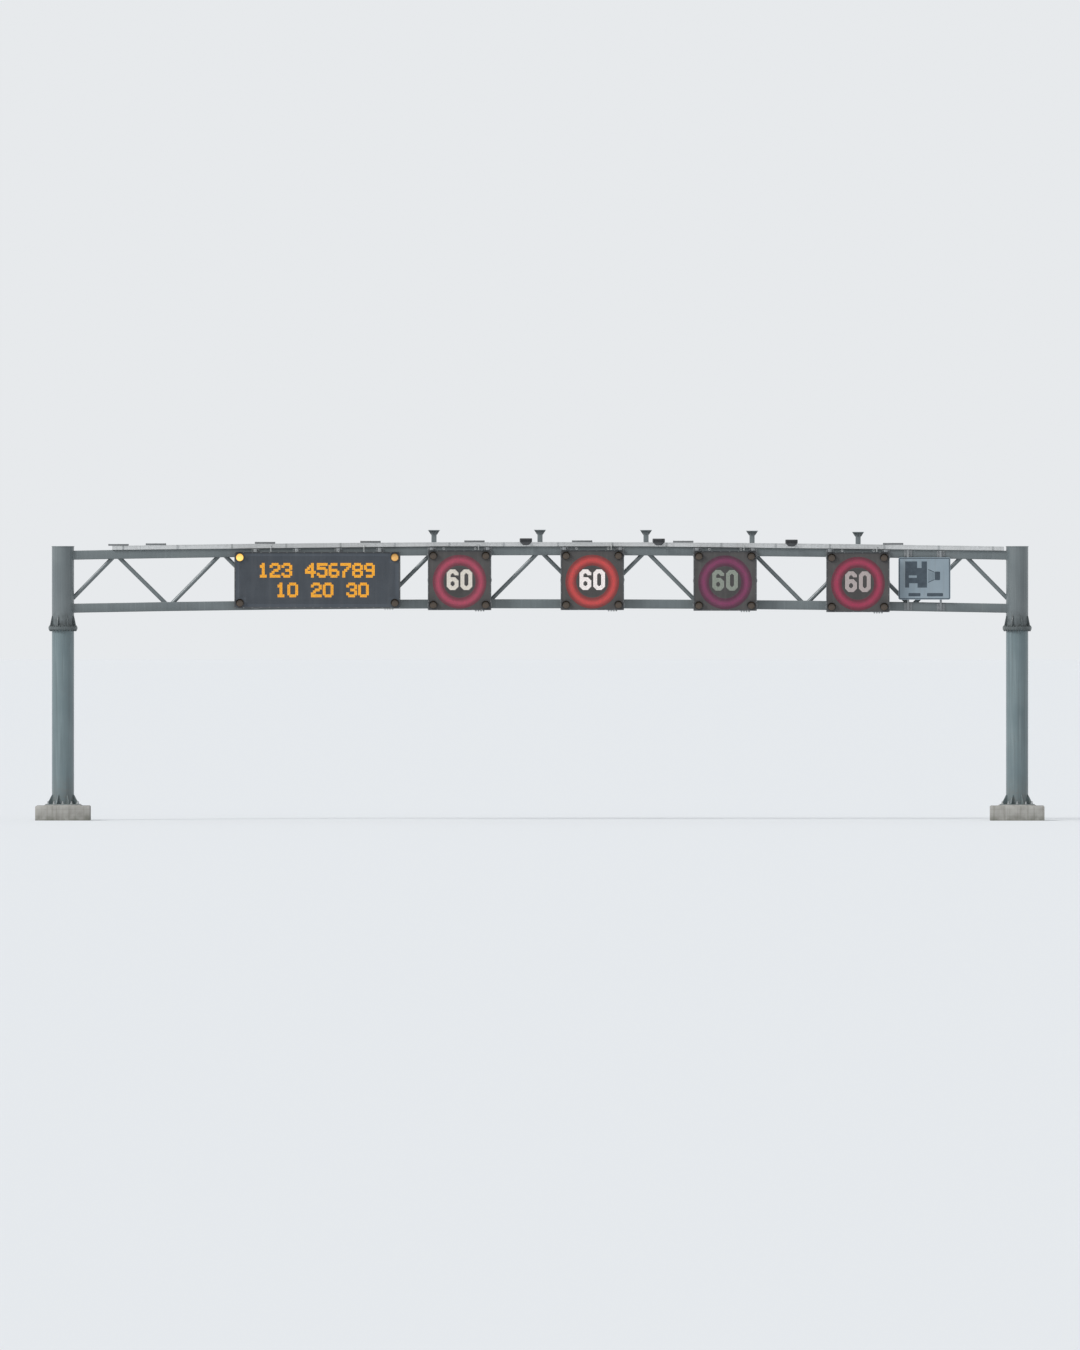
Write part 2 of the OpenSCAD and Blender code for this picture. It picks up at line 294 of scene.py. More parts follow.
def softened(name, node, width, segments, finish, slot="galvanised_steel"):
    """A copy of a frame node with rounded edges, in the node's place."""
    bm = merged(node)
    bmesh.ops.dissolve_limit(bm, angle_limit=math.radians(0.5), verts=bm.verts, edges=bm.edges)
    round_edges(bm, width, segments)
    return piece(name, bm, finish, slot, node)


def sweep(bm, rows, looped=False, index=0):
    """Skins rows of as many points each, and joins the last row to the first or closes both ends."""
    rows = [[bm.verts.new(point) for point in row] for row in rows]
    faces = [(a[i - 1], a[i], b[i], b[i - 1])
             for a, b in zip(rows, rows[1:] + rows[:looped]) for i in range(len(a))]
    for corners in faces + ([] if looped else [rows[0], rows[-1]]):
        bm.faces.new(corners).material_index = index


for side in SIDES:
    softened("concrete_plinth_" + side, "plinth_" + side, 0.008, 3, concrete, "concrete")
    low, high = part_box("base_plate_" + side)
    mid, half = (low + high) / 2, half_size("base_plate_" + side).x
    bm = bmesh.new()
    sweep(bm, [[(mid.x + x * (half + out), mid.y + y * (half + out), low.z + up) for x, y in CORNERS]
               for out, up in MORTAR], looped=True)
    piece("mortar_fillet_" + side, bm, concrete, "concrete")

# Painted steel
# Satin paint, bluer on the lower legs, greyer on the truss with its upper legs, and darkened
# where the two bolt together as painted shade round the flange joint. Just above the upper
# flange the truss coat is darkened too, as painted shade. It is chalky on top and streaked by
# rain below each edge.


def weathered_coat(name, dark, light, grime, streak=0.35, dirt_and_shade=None):
    """Satin paint, faded in clouds, streaked downwards, dusty on top and darker low down: soil on the legs,
    painted shade on the truss.
    """
    made, surface, where = shader(name, 0.5)
    fine = noise(where, 26.0, 0.2, 0.8, detail=6.0)
    clouds = blend(noise(where, 1.1, 0.32, 0.68), dark, light)
    rust = times(noise(where, 75.0, 0.64, 0.70, detail=3.0), noise(where, 1.7, 0.50, 0.66))
    colour = layered(blend(0.12, clouds, blend(fine, dark, light)),
                     (streaks(where, 0.50, 0.72, 17, 0.42), streak, grime),
                     (streaks(where, 0.56, 0.75, 23, 0.6), streak * 0.5, (0.42, 0.46, 0.47)),
                     (dust(where, 0.55, 7.0, 0.25, 0.75), 0.45, (0.36, 0.365, 0.35)),
                     (rust, 0.85, (0.135, 0.062, 0.030)))
    if dirt_and_shade:
        # The low darkening is soil on the lower legs, and painted shade above the upper flange on the truss.
        foot, top, amount, soil_and_shade = dirt_and_shade
        low_soil_and_shade = times(low_down(where, foot, top), noise(where, 9.0, 0.25, 0.7))
        colour = layered(colour, (low_soil_and_shade, amount, soil_and_shade))
    put(surface, {"Base Color": colour, "Roughness": ranged(fine, 0, 1, 0.40, 0.58),
                  "Coat Weight": 0.45, "Coat Roughness": 0.22})
    relief(surface, noise(where, 260.0, 0.2, 0.8, detail=2.0), 0.0004, 0.6)
    return made


leg_paint = weathered_coat("leg_paint", (0.105, 0.148, 0.160), (0.142, 0.190, 0.200), (0.058, 0.070, 0.072),
                           dirt_and_shade=(0.45, 1.3, 0.6, (0.15, 0.14, 0.12)))
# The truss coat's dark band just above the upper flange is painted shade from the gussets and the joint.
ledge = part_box("upper_flange_left")[1].z
truss_paint = weathered_coat("truss_paint", (0.108, 0.130, 0.136), (0.144, 0.167, 0.171),
                             (0.056, 0.065, 0.066), 0.2, (ledge, ledge + 0.55, 1.0, (0.030, 0.036, 0.036)))
# Painted shade: the flanges, the upper stiffeners and the flange bolts take this dark coat in place of the
# shade round the joint.
joint_painted_shade = weathered_coat("joint_painted_shade", (0.058, 0.072, 0.074), (0.084, 0.100, 0.102),
                             (0.034, 0.040, 0.040))
for side in SIDES:
    softened("foot_plate_" + side, "base_plate_" + side, 0.004, 2, leg_paint, "leg_steel")
    # The stiffeners above the joint take the joint's dark coat of painted shade.
    webs = softened("stiffeners_" + side, "leg_gussets_" + side, 0.002, 1, (leg_paint, joint_painted_shade),
                    "leg_steel")
    joint_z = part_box("lower_flange_" + side)[1].z
    for face in webs.data.polygons:
        face.material_index = int(face.center.z > joint_z)

# Legs
# Rolled steel tubes with a lengthwise weld seam. Each is turned anew as a round tube from
# the frame's sizes, and its ends are welded all round to the plates that they meet.
leg_r = half_size("upper_leg_right").y
leg_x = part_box("upper_leg_right")[1].x - leg_r
LEGS = {"left": Vector((-leg_x, 0, 0)), "right": Vector((leg_x, 0, 0))}
LEG_SIDES, WELD_SIDES, CHAMFER = 96, 72, 0.003


def lathe(bm, centre, profile, count, forwards=False, **how):
    """Turns (radius, distance) points about an axis that runs up from a centre, or forwards."""
    way = Vector((0, -1, 0) if forwards else (0, 0, 1))
    sweep(bm, [circle(centre + distance * way, r, count, forwards) for r, distance in profile], **how)


for side, axis in LEGS.items():
    # The flanges take the joint's dark coat of painted shade.
    for part, coat in (("lower_leg_", leg_paint), ("upper_leg_", truss_paint),
                       ("lower_flange_", joint_painted_shade), ("upper_flange_", joint_painted_shade)):
        low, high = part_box(part + side)
        profile = [(leg_r, low.z), (leg_r, high.z)]
        if coat == joint_painted_shade:
            r = half_size(part + side).x
            profile = [(r - CHAMFER, low.z), (r, low.z + CHAMFER),
                       (r, high.z - CHAMFER), (r - CHAMFER, high.z)]
        bm = bmesh.new()
        lathe(bm, axis, profile, LEG_SIDES)
        piece("round_" + part + side, bm, coat, "leg_steel", part + side)
softened("round_leg_caps", "leg_caps", 0.002, 1, truss_paint, "leg_steel")


def begin_tree(name, **sizes):
    """The inputs of a new geometry tree: what it grows on, its sizes and its finish."""
    tree = bpy.data.node_groups.new(name, "GeometryNodeTree")
    for label, kind in {"Geometry": "Geometry", **sizes, "Finish": "Material"}.items():
        tree.interface.new_socket(label, in_out="INPUT", socket_type="NodeSocket" + kind)
    tree.interface.new_socket("Geometry", in_out="OUTPUT", socket_type="NodeSocketGeometry")
    return add("NodeGroupInput", tree=tree)


def end_tree(geometry, given):
    """The tree, closed with real geometry in its finish."""
    real = add("GeometryNodeRealizeInstances", {0: geometry})[0]
    painted = add("GeometryNodeSetMaterial", {"Geometry": real, "Material": given["Finish"]})[0]
    add("NodeGroupOutput", {0: painted})
    return painted.id_data


def grown(name, points, edges, tree, sizes, finish, slot="galvanised_steel", sharpest=38):
    """A piece that a geometry tree grows on points, or along the edges between them."""
    seed_mesh = bpy.data.meshes.new("seed")
    seed_mesh.from_pydata([tuple(point) for point in points], edges, [])
    seed = in_scene(name, seed_mesh)
    modifier = seed.modifiers.new("grow", "NODES")
    modifier.node_group = tree
    values = {**sizes, "Finish": finish}
    for socket in tree.interface.items_tree:
        if socket.name in values:
            modifier[socket.identifier] = values[socket.name]
    made = bpy.data.meshes.new_from_object(seed.evaluated_get(bpy.context.evaluated_depsgraph_get()))
    seed.modifiers.clear()
    bpy.data.objects.remove(seed)
    return piece(name, made, finish, slot, sharpest=sharpest)


given = begin_tree("weld_bead", Size="Float", Step="Float")
path = add("GeometryNodeMeshToCurve", {0: given["Geometry"]})[0]
path = add("GeometryNodeResampleCurve", {"Curve": path, "Length": given["Step"]}, mode="LENGTH")[0]
swell = add("FunctionNodeRandomValue", {2: 0.82, 3: 1.12, "Seed": 5}, path.id_data)[1]
path = add("GeometryNodeSetCurveRadius", {"Curve": path, "Radius": swell})[0]
ring = add("GeometryNodeCurvePrimitiveCircle", {"Resolution": 7, "Radius": given["Size"]})[0]
bead = add("GeometryNodeCurveToMesh", {"Curve": path, "Profile Curve": ring, "Fill Caps": True})[0]
bead_tree = end_tree(bead, given)


def welds(name, paths, bead, finish, slot="leg_steel", closed=True):
    """Rounded weld beads along paths. A bead is its radius and the length of its ripples."""
    points, edges = [], []
    for path in paths:
        first, last = len(points), len(points) + len(path) - 1
        points += path
        edges += [(i, i + 1) for i in range(first, last)] + [(last, first)] * closed
    return grown(name, points, edges, bead_tree, dict(zip(("Size", "Step"), bead)), finish, slot, 75)


LEG_WELD, SEAM_WELD, GUSSET_WELD = (0.010, 0.016), (0.0045, 0.05), (0.0065, 0.018)
SEAM_TURN = math.radians(128)
GUSSETS, GUSSET_T = 8, 0.020
for side, axis in LEGS.items():
    for part, coat, reach, height in (("lower_leg_", leg_paint, 0.150, 0.260),
                                      ("upper_leg_", truss_paint, 0.080, 0.300)):
        low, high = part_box(part + side)
        rings = [circle(axis + Vector((0, 0, z)), leg_r, WELD_SIDES) for z in (low.z, high.z - 0.002)]
        welds(part + "welds_" + side, rings, LEG_WELD, coat)
        seam = axis + leg_r * Vector((math.cos(SEAM_TURN), math.sin(SEAM_TURN), 0))
        run = [seam + Vector((0, 0, z)) for z in (low.z + 0.01, high.z - 0.01)]
        welds(part + "seam_" + side, [run], SEAM_WELD, coat, closed=False)
        corners = ((leg_r + reach, low.z), (leg_r, low.z), (leg_r, low.z + height))
        turns = [Matrix.Rotation((i + 0.5) * math.tau / GUSSETS, 3, "Z") for i in range(GUSSETS)]
        runs = [[axis + turn @ Vector((out, offset, z)) for out, z in corners]
                for turn in turns for offset in (-GUSSET_T / 2, GUSSET_T / 2)]
        welds(part + "gusset_welds_" + side, runs, GUSSET_WELD, coat, closed=False)

# Anchor bolts and flange bolts
# Hexagon bolts and nuts on washers. Sixteen galvanised studs hold each foot plate down. A
# ring of bolts, darkened with the joint as painted shade, closes each flange joint, with the
# heads above and the nuts below.
UP, DOWN = (0.0, 0.0, 0.0), (math.pi, 0.0, 0.0)


def zinc_coat(name, dark, light, dull, grime):
    """Hot-dip zinc: crystal flakes of two tones, dulled in clouds and marked by rain."""
    made, surface, where = shader(name, 0.42, 0.6)
    tone = component(add("ShaderNodeTexVoronoi", {"Vector": where, "Scale": 70.0})["Color"], 0)
    clouds = blend(noise(where, 3.0, 0.35, 0.75), blend(tone, dark, light), dull)
    colour = layered(clouds, (streaks(where, 0.52, 0.75, 20, 0.8), grime, (0.16, 0.165, 0.16)))
    put(surface, {"Base Color": colour, "Roughness": ranged(tone, 0, 1, 0.36, 0.56)})
    relief(surface, noise(where, 120.0), 0.0005, 0.5)
    return made


zinc = zinc_coat("zinc", (0.34, 0.355, 0.365), (0.50, 0.515, 0.52), (0.42, 0.43, 0.42), 0.4)
dull_zinc = zinc_coat("dull_zinc", (0.20, 0.215, 0.225), (0.31, 0.325, 0.335), (0.235, 0.245, 0.245), 0.5)


def raised(shape, height):
    """A shape in a tree, lifted along its axis."""
    lift = add("ShaderNodeCombineXYZ", {"Z": height})[0]
    return add("GeometryNodeTransform", {"Geometry": shape, "Translation": lift})[0]


def on_points(given, shape):
    """A shape in a tree, set on each point and turned."""
    return add("GeometryNodeInstanceOnPoints", {
        "Points": given["Geometry"], "Instance": shape, "Rotation": given["Turn"]})[0]


given = begin_tree("hexagon_bolt", Across="Float", Height="Float", Stud="Float", Length="Float",
                   Turn="Rotation")
across, height, length = given["Across"], given["Height"], given["Length"]
head_r = times(across, 0.577)
washer = add("GeometryNodeMeshCylinder", {
    "Vertices": 20, "Radius": times(across, 0.66), "Depth": times(height, 0.16)})[0]
head = add("GeometryNodeMeshCylinder", {"Vertices": 6, "Radius": head_r, "Depth": times(height, 0.86)})[0]
crown = add("GeometryNodeMeshCone", {"Vertices": 6, "Radius Bottom": head_r,
                                     "Radius Top": times(across, 0.46), "Depth": times(height, 0.14)})[0]
stud = add("GeometryNodeMeshCylinder", {"Vertices": 12, "Radius": given["Stud"], "Depth": length})[0]
stack = [raised(washer, times(height, 0.08)), raised(head, times(height, 0.59)),
         raised(crown, times(height, 1.02)), raised(stud, calc("ADD", times(length, 0.5), height))]
spin = add("FunctionNodeRandomValue", {2: 0.0, 3: math.tau / 6, "Seed": 11}, stud.id_data)[1]
spin = add("ShaderNodeCombineXYZ", {"Z": spin})[0]
stack = on_points(given, add("GeometryNodeJoinGeometry", {0: stack}, stud.id_data)[0])
bolt_tree = end_tree(add("GeometryNodeRotateInstances", {"Instances": stack, "Rotation": spin})[0], given)


def bolts(name, points, size, turn=UP, finish=zinc, slot="galvanised_steel"):
    """Bolts or nuts on points. A size is across flats, height, stud radius and stud length."""
    sizes = dict(zip(("Across", "Height", "Stud", "Length"), size), Turn=turn)
    return grown(name, points, [], bolt_tree, sizes, finish, slot)


ANCHOR_INSET, ANCHOR_STEP = 0.075, 0.240
ANCHOR_NUT = (0.055, 0.032, 0.018, 0.045)
FLANGE_BOLTS = 24
FLANGE_HEAD, FLANGE_NUT = (0.046, 0.026, 0.010, 0.002), (0.046, 0.026, 0.015, 0.022)
for side, axis in LEGS.items():
    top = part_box("base_plate_" + side)[1].z
    edge = half_size("base_plate_" + side).x - ANCHOR_INSET
    rows = (-edge, -ANCHOR_STEP, 0.0, ANCHOR_STEP, edge)
    spots = [axis + Vector((x, y, top)) for x in rows for y in rows if edge in (abs(x), abs(y))]
    bolts("anchor_nuts_" + side, spots, ANCHOR_NUT)
    bolt_r = (leg_r + half_size("upper_flange_" + side).x) / 2 + 0.004
    top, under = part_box("upper_flange_" + side)[1].z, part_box("lower_flange_" + side)[0].z
    for name, z, size, turn in (("flange_heads_", top, FLANGE_HEAD, UP),
                                ("flange_nuts_", under, FLANGE_NUT, DOWN)):
        spots = circle(axis + Vector((0, 0, z)), bolt_r, FLANGE_BOLTS)
        # The flange bolts take the joint's dark coat of painted shade.
        bolts(name + side, spots, size, turn, joint_painted_shade, "leg_steel")

# Truss chords
# Square hollow sections with rounded corners, set with a slight upward bow, and cut at
# the ends to sit round the legs. They are swept anew from node to node of the truss.
SPAN = 2 * leg_x
PANELS = 9
CAMBER_RISE = 0.130
CORNER_R = 0.026
EMBED = 0.003
CHORD_WELD = (0.009, 0.016)
pitch = SPAN / PANELS
bottom_stations = [-leg_x + i * pitch for i in range(PANELS + 1)]
top_stations = [-leg_x] + [-leg_x + (i + 0.5) * pitch for i in range(PANELS)] + [leg_x]
chord_half = half_size("bottom_chord").y


def camber(x):
    """The truss's rise above a straight line at a place along the span."""
    return CAMBER_RISE * (1 - (2 * x / SPAN) ** 2)


def line_height(x, stations):
    """The camber of the straight run between stations, as the chords are made."""
    for a, b in zip(stations, stations[1:]):
        if a <= x <= b:
            return camber(a) + (camber(b) - camber(a)) * (x - a) / (b - a)
    return camber(x)


bottom_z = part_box("bottom_chord")[1].z - chord_half - max(camber(x) for x in bottom_stations)
top_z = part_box("top_chord")[1].z - chord_half - max(camber(x) for x in top_stations)


def chord_top(x):
    """The height of the top chord's upper face at a place along the span."""
    return top_z + chord_half + line_height(x, top_stations)


def rounded_square(half_across, half_up, radius, steps=5):
    """(across, up) points round a rectangle with rounded corners."""
    points = []
    for quarter, (sx, sy) in enumerate(((1, 1), (-1, 1), (-1, -1), (1, -1))):
        for a in (math.radians(90 * (quarter + i / steps)) for i in range(steps + 1)):
            points.append((sx * (half_across - radius) + radius * math.cos(a),
                           sy * (half_up - radius) + radius * math.sin(a)))
    return points


profile = rounded_square(chord_half, chord_half, CORNER_R)
joint_paths = []
for node, stations, z in (("bottom_chord", bottom_stations, bottom_z), ("top_chord", top_stations, top_z)):
    ends = []
    for sign in (-1, 1):
        xs = [sign * (leg_x - math.sqrt(leg_r ** 2 - y ** 2) + EMBED) for y, _ in profile]
        ends.append([(x, y, z + line_height(x, stations) + up) for x, (y, up) in zip(xs, profile)])
    rows = [[(x, y, z + camber(x) + up) for y, up in profile] for x in stations if abs(x) < leg_x - leg_r]
    bm = bmesh.new()
    sweep(bm, [ends[0]] + rows + [ends[1]])
    piece("square_" + node, bm, truss_paint, "truss_steel", node)
    joint_paths += ends
welds("chord_welds", joint_paths, CHORD_WELD, truss_paint, "truss_steel")

# Diagonals
# Round tubes between the chords, cut to fit the flat faces of the chords and the curve of
# the legs, and welded all round. They are made anew from the truss's nodes.
bar_r = half_size("truss_diagonals").y
BAR_SIDES = 32
BAR_WELD = (0.0065, 0.018)


def bar_ends(low, high, leg_sign):
    """The two cut end rings of a bar between (x, z) nodes, the lower on a leg if it has a sign."""
    start = Vector((low[0], 0, low[1]))
    axis = (Vector((high[0], 0, high[1])) - start).normalized()
    up = axis.cross(Vector((0, 1, 0)))
    lower, upper = [], []
    for y, rise, _ in circle(Vector(), bar_r, BAR_SIDES):
        base = start + Vector((0, y, 0)) + rise * up
        from_chord = (low[1] + chord_half - base.z) / axis.z
        if leg_sign:
            out = base.x - leg_sign * leg_x
            b, c = out * axis.x, out ** 2 + base.y ** 2 - leg_r ** 2
            from_chord = max(from_chord, (-b + math.sqrt(b * b - axis.x ** 2 * c)) / axis.x ** 2)
        to_chord = (high[1] - chord_half - base.z) / axis.z
        lower.append(base + axis * (from_chord - EMBED))
        upper.append(base + axis * (to_chord + EMBED))
    return lower, upper


bm = bmesh.new()
bar_paths = []
for i, top_x in enumerate(top_stations[1:-1]):
    for x in bottom_stations[i:i + 2]:
        on_leg = math.copysign(1, x) if abs(abs(x) - leg_x) < 0.01 else 0
        ends = bar_ends((x, bottom_z + camber(x)), (top_x, top_z + camber(top_x)), on_leg)
        sweep(bm, ends)
        bar_paths += ends
piece("round_diagonals", bm, truss_paint, "truss_steel", "truss_diagonals")
welds("diagonal_welds", bar_paths, BAR_WELD, truss_paint, "truss_steel")

# Sign rails and cleats
# Galvanised square tubes stand on plates on the front of both chords, four for the message
# sign and two for each other sign. Bolts through the plates' ears hold them.
FORWARDS, BACK = (math.pi / 2, 0.0, 0.0), (-math.pi / 2, 0.0, 0.0)
CLEAT_BOLT, CLEAT_BOLT_X, CLEAT_BOLT_Z = (0.030, 0.015, 0.010, 0.010), 0.082, 0.058
for node, name in (("message_sign_rails", "message_rails"), ("lane_signal_rails", "signal_rails"),
                   ("camera_sign_rails", "plate_rails")):
    softened(name, node, 0.008, 2, dull_zinc)
softened("cleat_plates", "rail_cleats", 0.002, 1, dull_zinc)


def islands(node):
    """(lowest, highest) corners of each separate solid in a frame node, from left to right."""
    bm = merged(node)
    left, found = set(bm.verts), []
    while left:
        stack, part = [left.pop()], []
        while stack:
            vert = stack.pop()
            part.append(vert.co)
            near = {edge.other_vert(vert) for edge in vert.link_edges} & left
            left -= near
            stack += near
        found.append(tuple(Vector([end(p[k] for p in part) for k in range(3)]) for end in (min, max)))
    bm.free()
    return sorted(found, key=lambda box: (round(box[0].x, 3), box[0].z))


spots = []
for low, high in islands("rail_cleats"):
    mid = (low + high) / 2
    spots += [(mid.x + sx * CLEAT_BOLT_X, low.y, mid.z + sz * CLEAT_BOLT_Z)
              for sx in (-1, 1) for sz in (-1, 1)]
bolts("cleat_bolts", spots, CLEAT_BOLT, FORWARDS, dull_zinc)

# Cabinets
# Folded aluminium boxes in dark grey powder coat. Each has a rain lip and a bezel screwed
# round its front, angle brackets to its rails, and louvred doors between them at the back.
cabinet_coat, surface, where = shader("cabinet_coat", 0.55)
put(surface, {
    "Base Color": cloudy(where, 1.6, (0.052, 0.056, 0.060), (0.072, 0.077, 0.082),
                         (streaks(where, 0.5, 0.75, 15, 0.5), 0.35, (0.12, 0.125, 0.12)),
                         (dust(where, 0.5, 6.0, 0.2, 0.8), 0.6, (0.20, 0.20, 0.19))),
    "Roughness": ranged(noise(where, 20.0, 0.2, 0.8), 0, 1, 0.48, 0.66)})
relief(surface, noise(where, 420.0, detail=1.0), 0.0003, 0.6)

given = begin_tree("blocks", Size="Vector", Turn="Rotation")
block_tree = end_tree(on_points(given, add("GeometryNodeMeshCube", {"Size": given["Size"]})[0]), given)


def blocks(name, points, size, finish, slot="galvanised_steel", turn=UP):
    """Small blocks of one size centred on points."""
    return grown(name, points, [], block_tree, {"Size": size, "Turn": turn}, finish, slot)


def cuboid(bm, low, high):
    """A closed block between two corners."""
    for vert in bmesh.ops.create_cube(bm, size=1.0)["verts"]:
        vert.co = [a + (b - a) * (c + 0.5) for a, b, c in zip(low, high, vert.co)]


def strips(u0, v0, u1, v1, width):
    """The four sides of a picture frame round the inside of a rectangle."""
    return ((u0, v1 - width, u1, v1), (u0, v0, u1, v0 + width),
            (u0, v0 + width, u0 + width, v1 - width), (u1 - width, v0 + width, u1, v1 - width))


def evenly(a, b, step):
    """Places from a to b, as near a step apart as fits."""
    count = max(1, round((b - a) / step))
    return [a + (b - a) * i / count for i in range(count + 1)]


BEZEL_W, BEZEL_PROUD, RAIN_LIP, LIP_T = 0.034, 0.008, 0.030, 0.004
SCREW, SCREW_STEP = (0.013, 0.006, 0.003, 0.001), 0.24
DOOR_GAP, DOOR_T, HINGE, HINGE_OUT = 0.085, 0.014, (0.022, 0.022, 0.11), 0.006
LOCK, LOCK_IN, LOCKS_AT, HINGES_AT = (0.030, 0.012, 0.008, 0.006), 0.05, (0.12, 0.5, 0.88), (0.1, 0.5, 0.9)
SLATS, SLAT_STEP, SLAT_DEPTH, SLAT_T, SLAT_TILT = 9, 0.03, 0.016, 0.004, math.radians(-38)
LOW_SLATS, HIGH_SLATS, WIDEST_SLAT = 0.10, 0.34, 0.6
ANGLE_W, ANGLE_H, ANGLE_T, ANGLE_INSET = 0.062, 0.080, 0.006, 0.14
ANGLE_BOLT, ANGLE_HOLE = (0.024, 0.012, 0.008, 0.008), 0.040
LEFT, RIGHT = (0.0, -math.pi / 2, 0.0), (0.0, math.pi / 2, 0.0)
SIGNS = [f"lane_signal_{number}" for number in range(1, 5)] + ["message_sign"]
for sign in SIGNS:
    low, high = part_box(sign + "_case")
    face_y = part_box(sign + "_face")[0].y
    front, back = face_y - BEZEL_PROUD, high.y
    softened(sign + "_shell", sign + "_case", 0.010, 3, cabinet_coat, "cabinet_paint")

    bm = bmesh.new()
    for x0, z0, x1, z1 in strips(low.x, low.z, high.x, high.z, BEZEL_W):
        cuboid(bm, (x0, front, z0), (x1, low.y, z1))
    cuboid(bm, (low.x - LIP_T, face_y - RAIN_LIP, high.z - 0.006),
           (high.x + LIP_T, back - 0.020, high.z + LIP_T))
    round_edges(bm, 0.002)
    piece(sign + "_bezel", bm, cabinet_coat, "cabinet_paint")
    inset = BEZEL_W / 2
    x0, z0, x1, z1 = low.x + inset, low.z + inset, high.x - inset, high.z - inset
    spots = [(x, front, z) for z in (z0, z1) for x in evenly(x0, x1, SCREW_STEP)]
    spots += [(x, front, z) for x in (x0, x1) for z in evenly(z0, z1, SCREW_STEP)[1:-1]]
    bolts(sign + "_bezel_screws", spots, SCREW, FORWARDS)

    rails = [r for node in ("message_sign_rails", "lane_signal_rails") for r in islands(node)
             if low.x < r[0].x and r[1].x < high.x]
    bm = bmesh.new()
    slats, locks, hinges = [], [], []
    z0, z1 = low.z + DOOR_GAP, high.z - DOOR_GAP
    for rail, next_rail in zip(rails, rails[1:]):
        x0, x1 = rail[1].x + DOOR_GAP, next_rail[0].x - DOOR_GAP
        cuboid(bm, (x0, back - 0.002, z0), (x1, back + DOOR_T, z1))
        slats += [((x0 + x1) / 2, back + DOOR_T + SLAT_T, base + SLAT_STEP * i)
                  for base in (z0 + LOW_SLATS, z1 - HIGH_SLATS) for i in range(SLATS)]
        locks += [(x0 + LOCK_IN, back + DOOR_T - 0.001, z0 + (z1 - z0) * t) for t in LOCKS_AT]
        hinges += [(x1 + HINGE_OUT, back + DOOR_T - 0.002, z0 + (z1 - z0) * t) for t in HINGES_AT]
    round_edges(bm, 0.004, 2)
    piece(sign + "_door", bm, cabinet_coat, "cabinet_paint")
    blocks(sign + "_louvres", slats, (min((x1 - x0) / 2, WIDEST_SLAT), SLAT_DEPTH, SLAT_T),
           cabinet_coat, "cabinet_paint", (SLAT_TILT, 0.0, 0.0))
    blocks(sign + "_hinges", hinges, HINGE, zinc)
    bolts(sign + "_locks", locks, LOCK, BACK)

    bm = bmesh.new()
    on_back, on_side = [], {-1: [], 1: []}
    for rail_low, rail_high in rails:
        for z in (low.z + ANGLE_INSET, (low.z + high.z) / 2, high.z - ANGLE_INSET):
            for x, way in ((rail_low.x, -1), (rail_high.x, 1)):
                for from_x, to_x, from_y, to_y in ((0, ANGLE_W, -0.001, ANGLE_T),
                                                   (-0.001, ANGLE_T, ANGLE_T - 0.001, ANGLE_W)):
                    a, b = sorted((x + way * from_x, x + way * to_x))
                    cuboid(bm, (a, back + from_y, z - ANGLE_H / 2), (b, back + to_y, z + ANGLE_H / 2))
                on_back.append((x + way * ANGLE_HOLE, back + ANGLE_T, z))
                on_side[way].append((x + way * ANGLE_T, back + ANGLE_HOLE, z))
    round_edges(bm, 0.0015)
    piece(sign + "_angles", bm, zinc)
    bolts(sign + "_angle_bolts_back", on_back, ANGLE_BOLT, BACK)
    bolts(sign + "_angle_bolts_left", on_side[-1], ANGLE_BOLT, LEFT)
    bolts(sign + "_angle_bolts_right", on_side[1], ANGLE_BOLT, RIGHT)

# Lifting eyes, conduits and glands
# Each cabinet is lifted by ring eyes on its top and fed by rigid steel conduit that bends
# down from the cable tray into a gland. A row of spare glands is plugged underneath.
EYE_R, EYE_WIRE, EYE_RISE, EYE_SIDES, WIRE_SIDES = 0.026, 0.007, 0.038, 16, 8
EYE_FOOT, EYE_FOOT_T = 0.022, 0.012
CONDUIT_R, CONDUIT_SIDES, CONDUIT_OUT, BEND_R, BEND_STEP = 0.014, 14, 0.150, 0.060, math.radians(15)
CONDUIT_RISE, WIDE_INSET, CONDUIT_INSET = 0.045, 1.0, 0.35
GLAND, SPARE_GLAND = (0.044, 0.030, 0.018, 0.014), (0.038, 0.026, 0.014, 0.010)
SPARES, SPARE_STEP, SPARE_INSET = 4, 0.07, 0.42


def pipe(bm, path, radius, sides):
    """A round pipe along a path that stays in a plane x = constant."""
    rows = []
    for i, point in enumerate(path):
        way = (path[min(i + 1, len(path) - 1)] - path[max(i - 1, 0)]).normalized()
        up = way.cross(Vector((1, 0, 0)))
        rows.append([point + Vector((x, 0, 0)) + rise * up for x, rise, _ in circle(Vector(), radius, sides)])
    sweep(bm, rows)


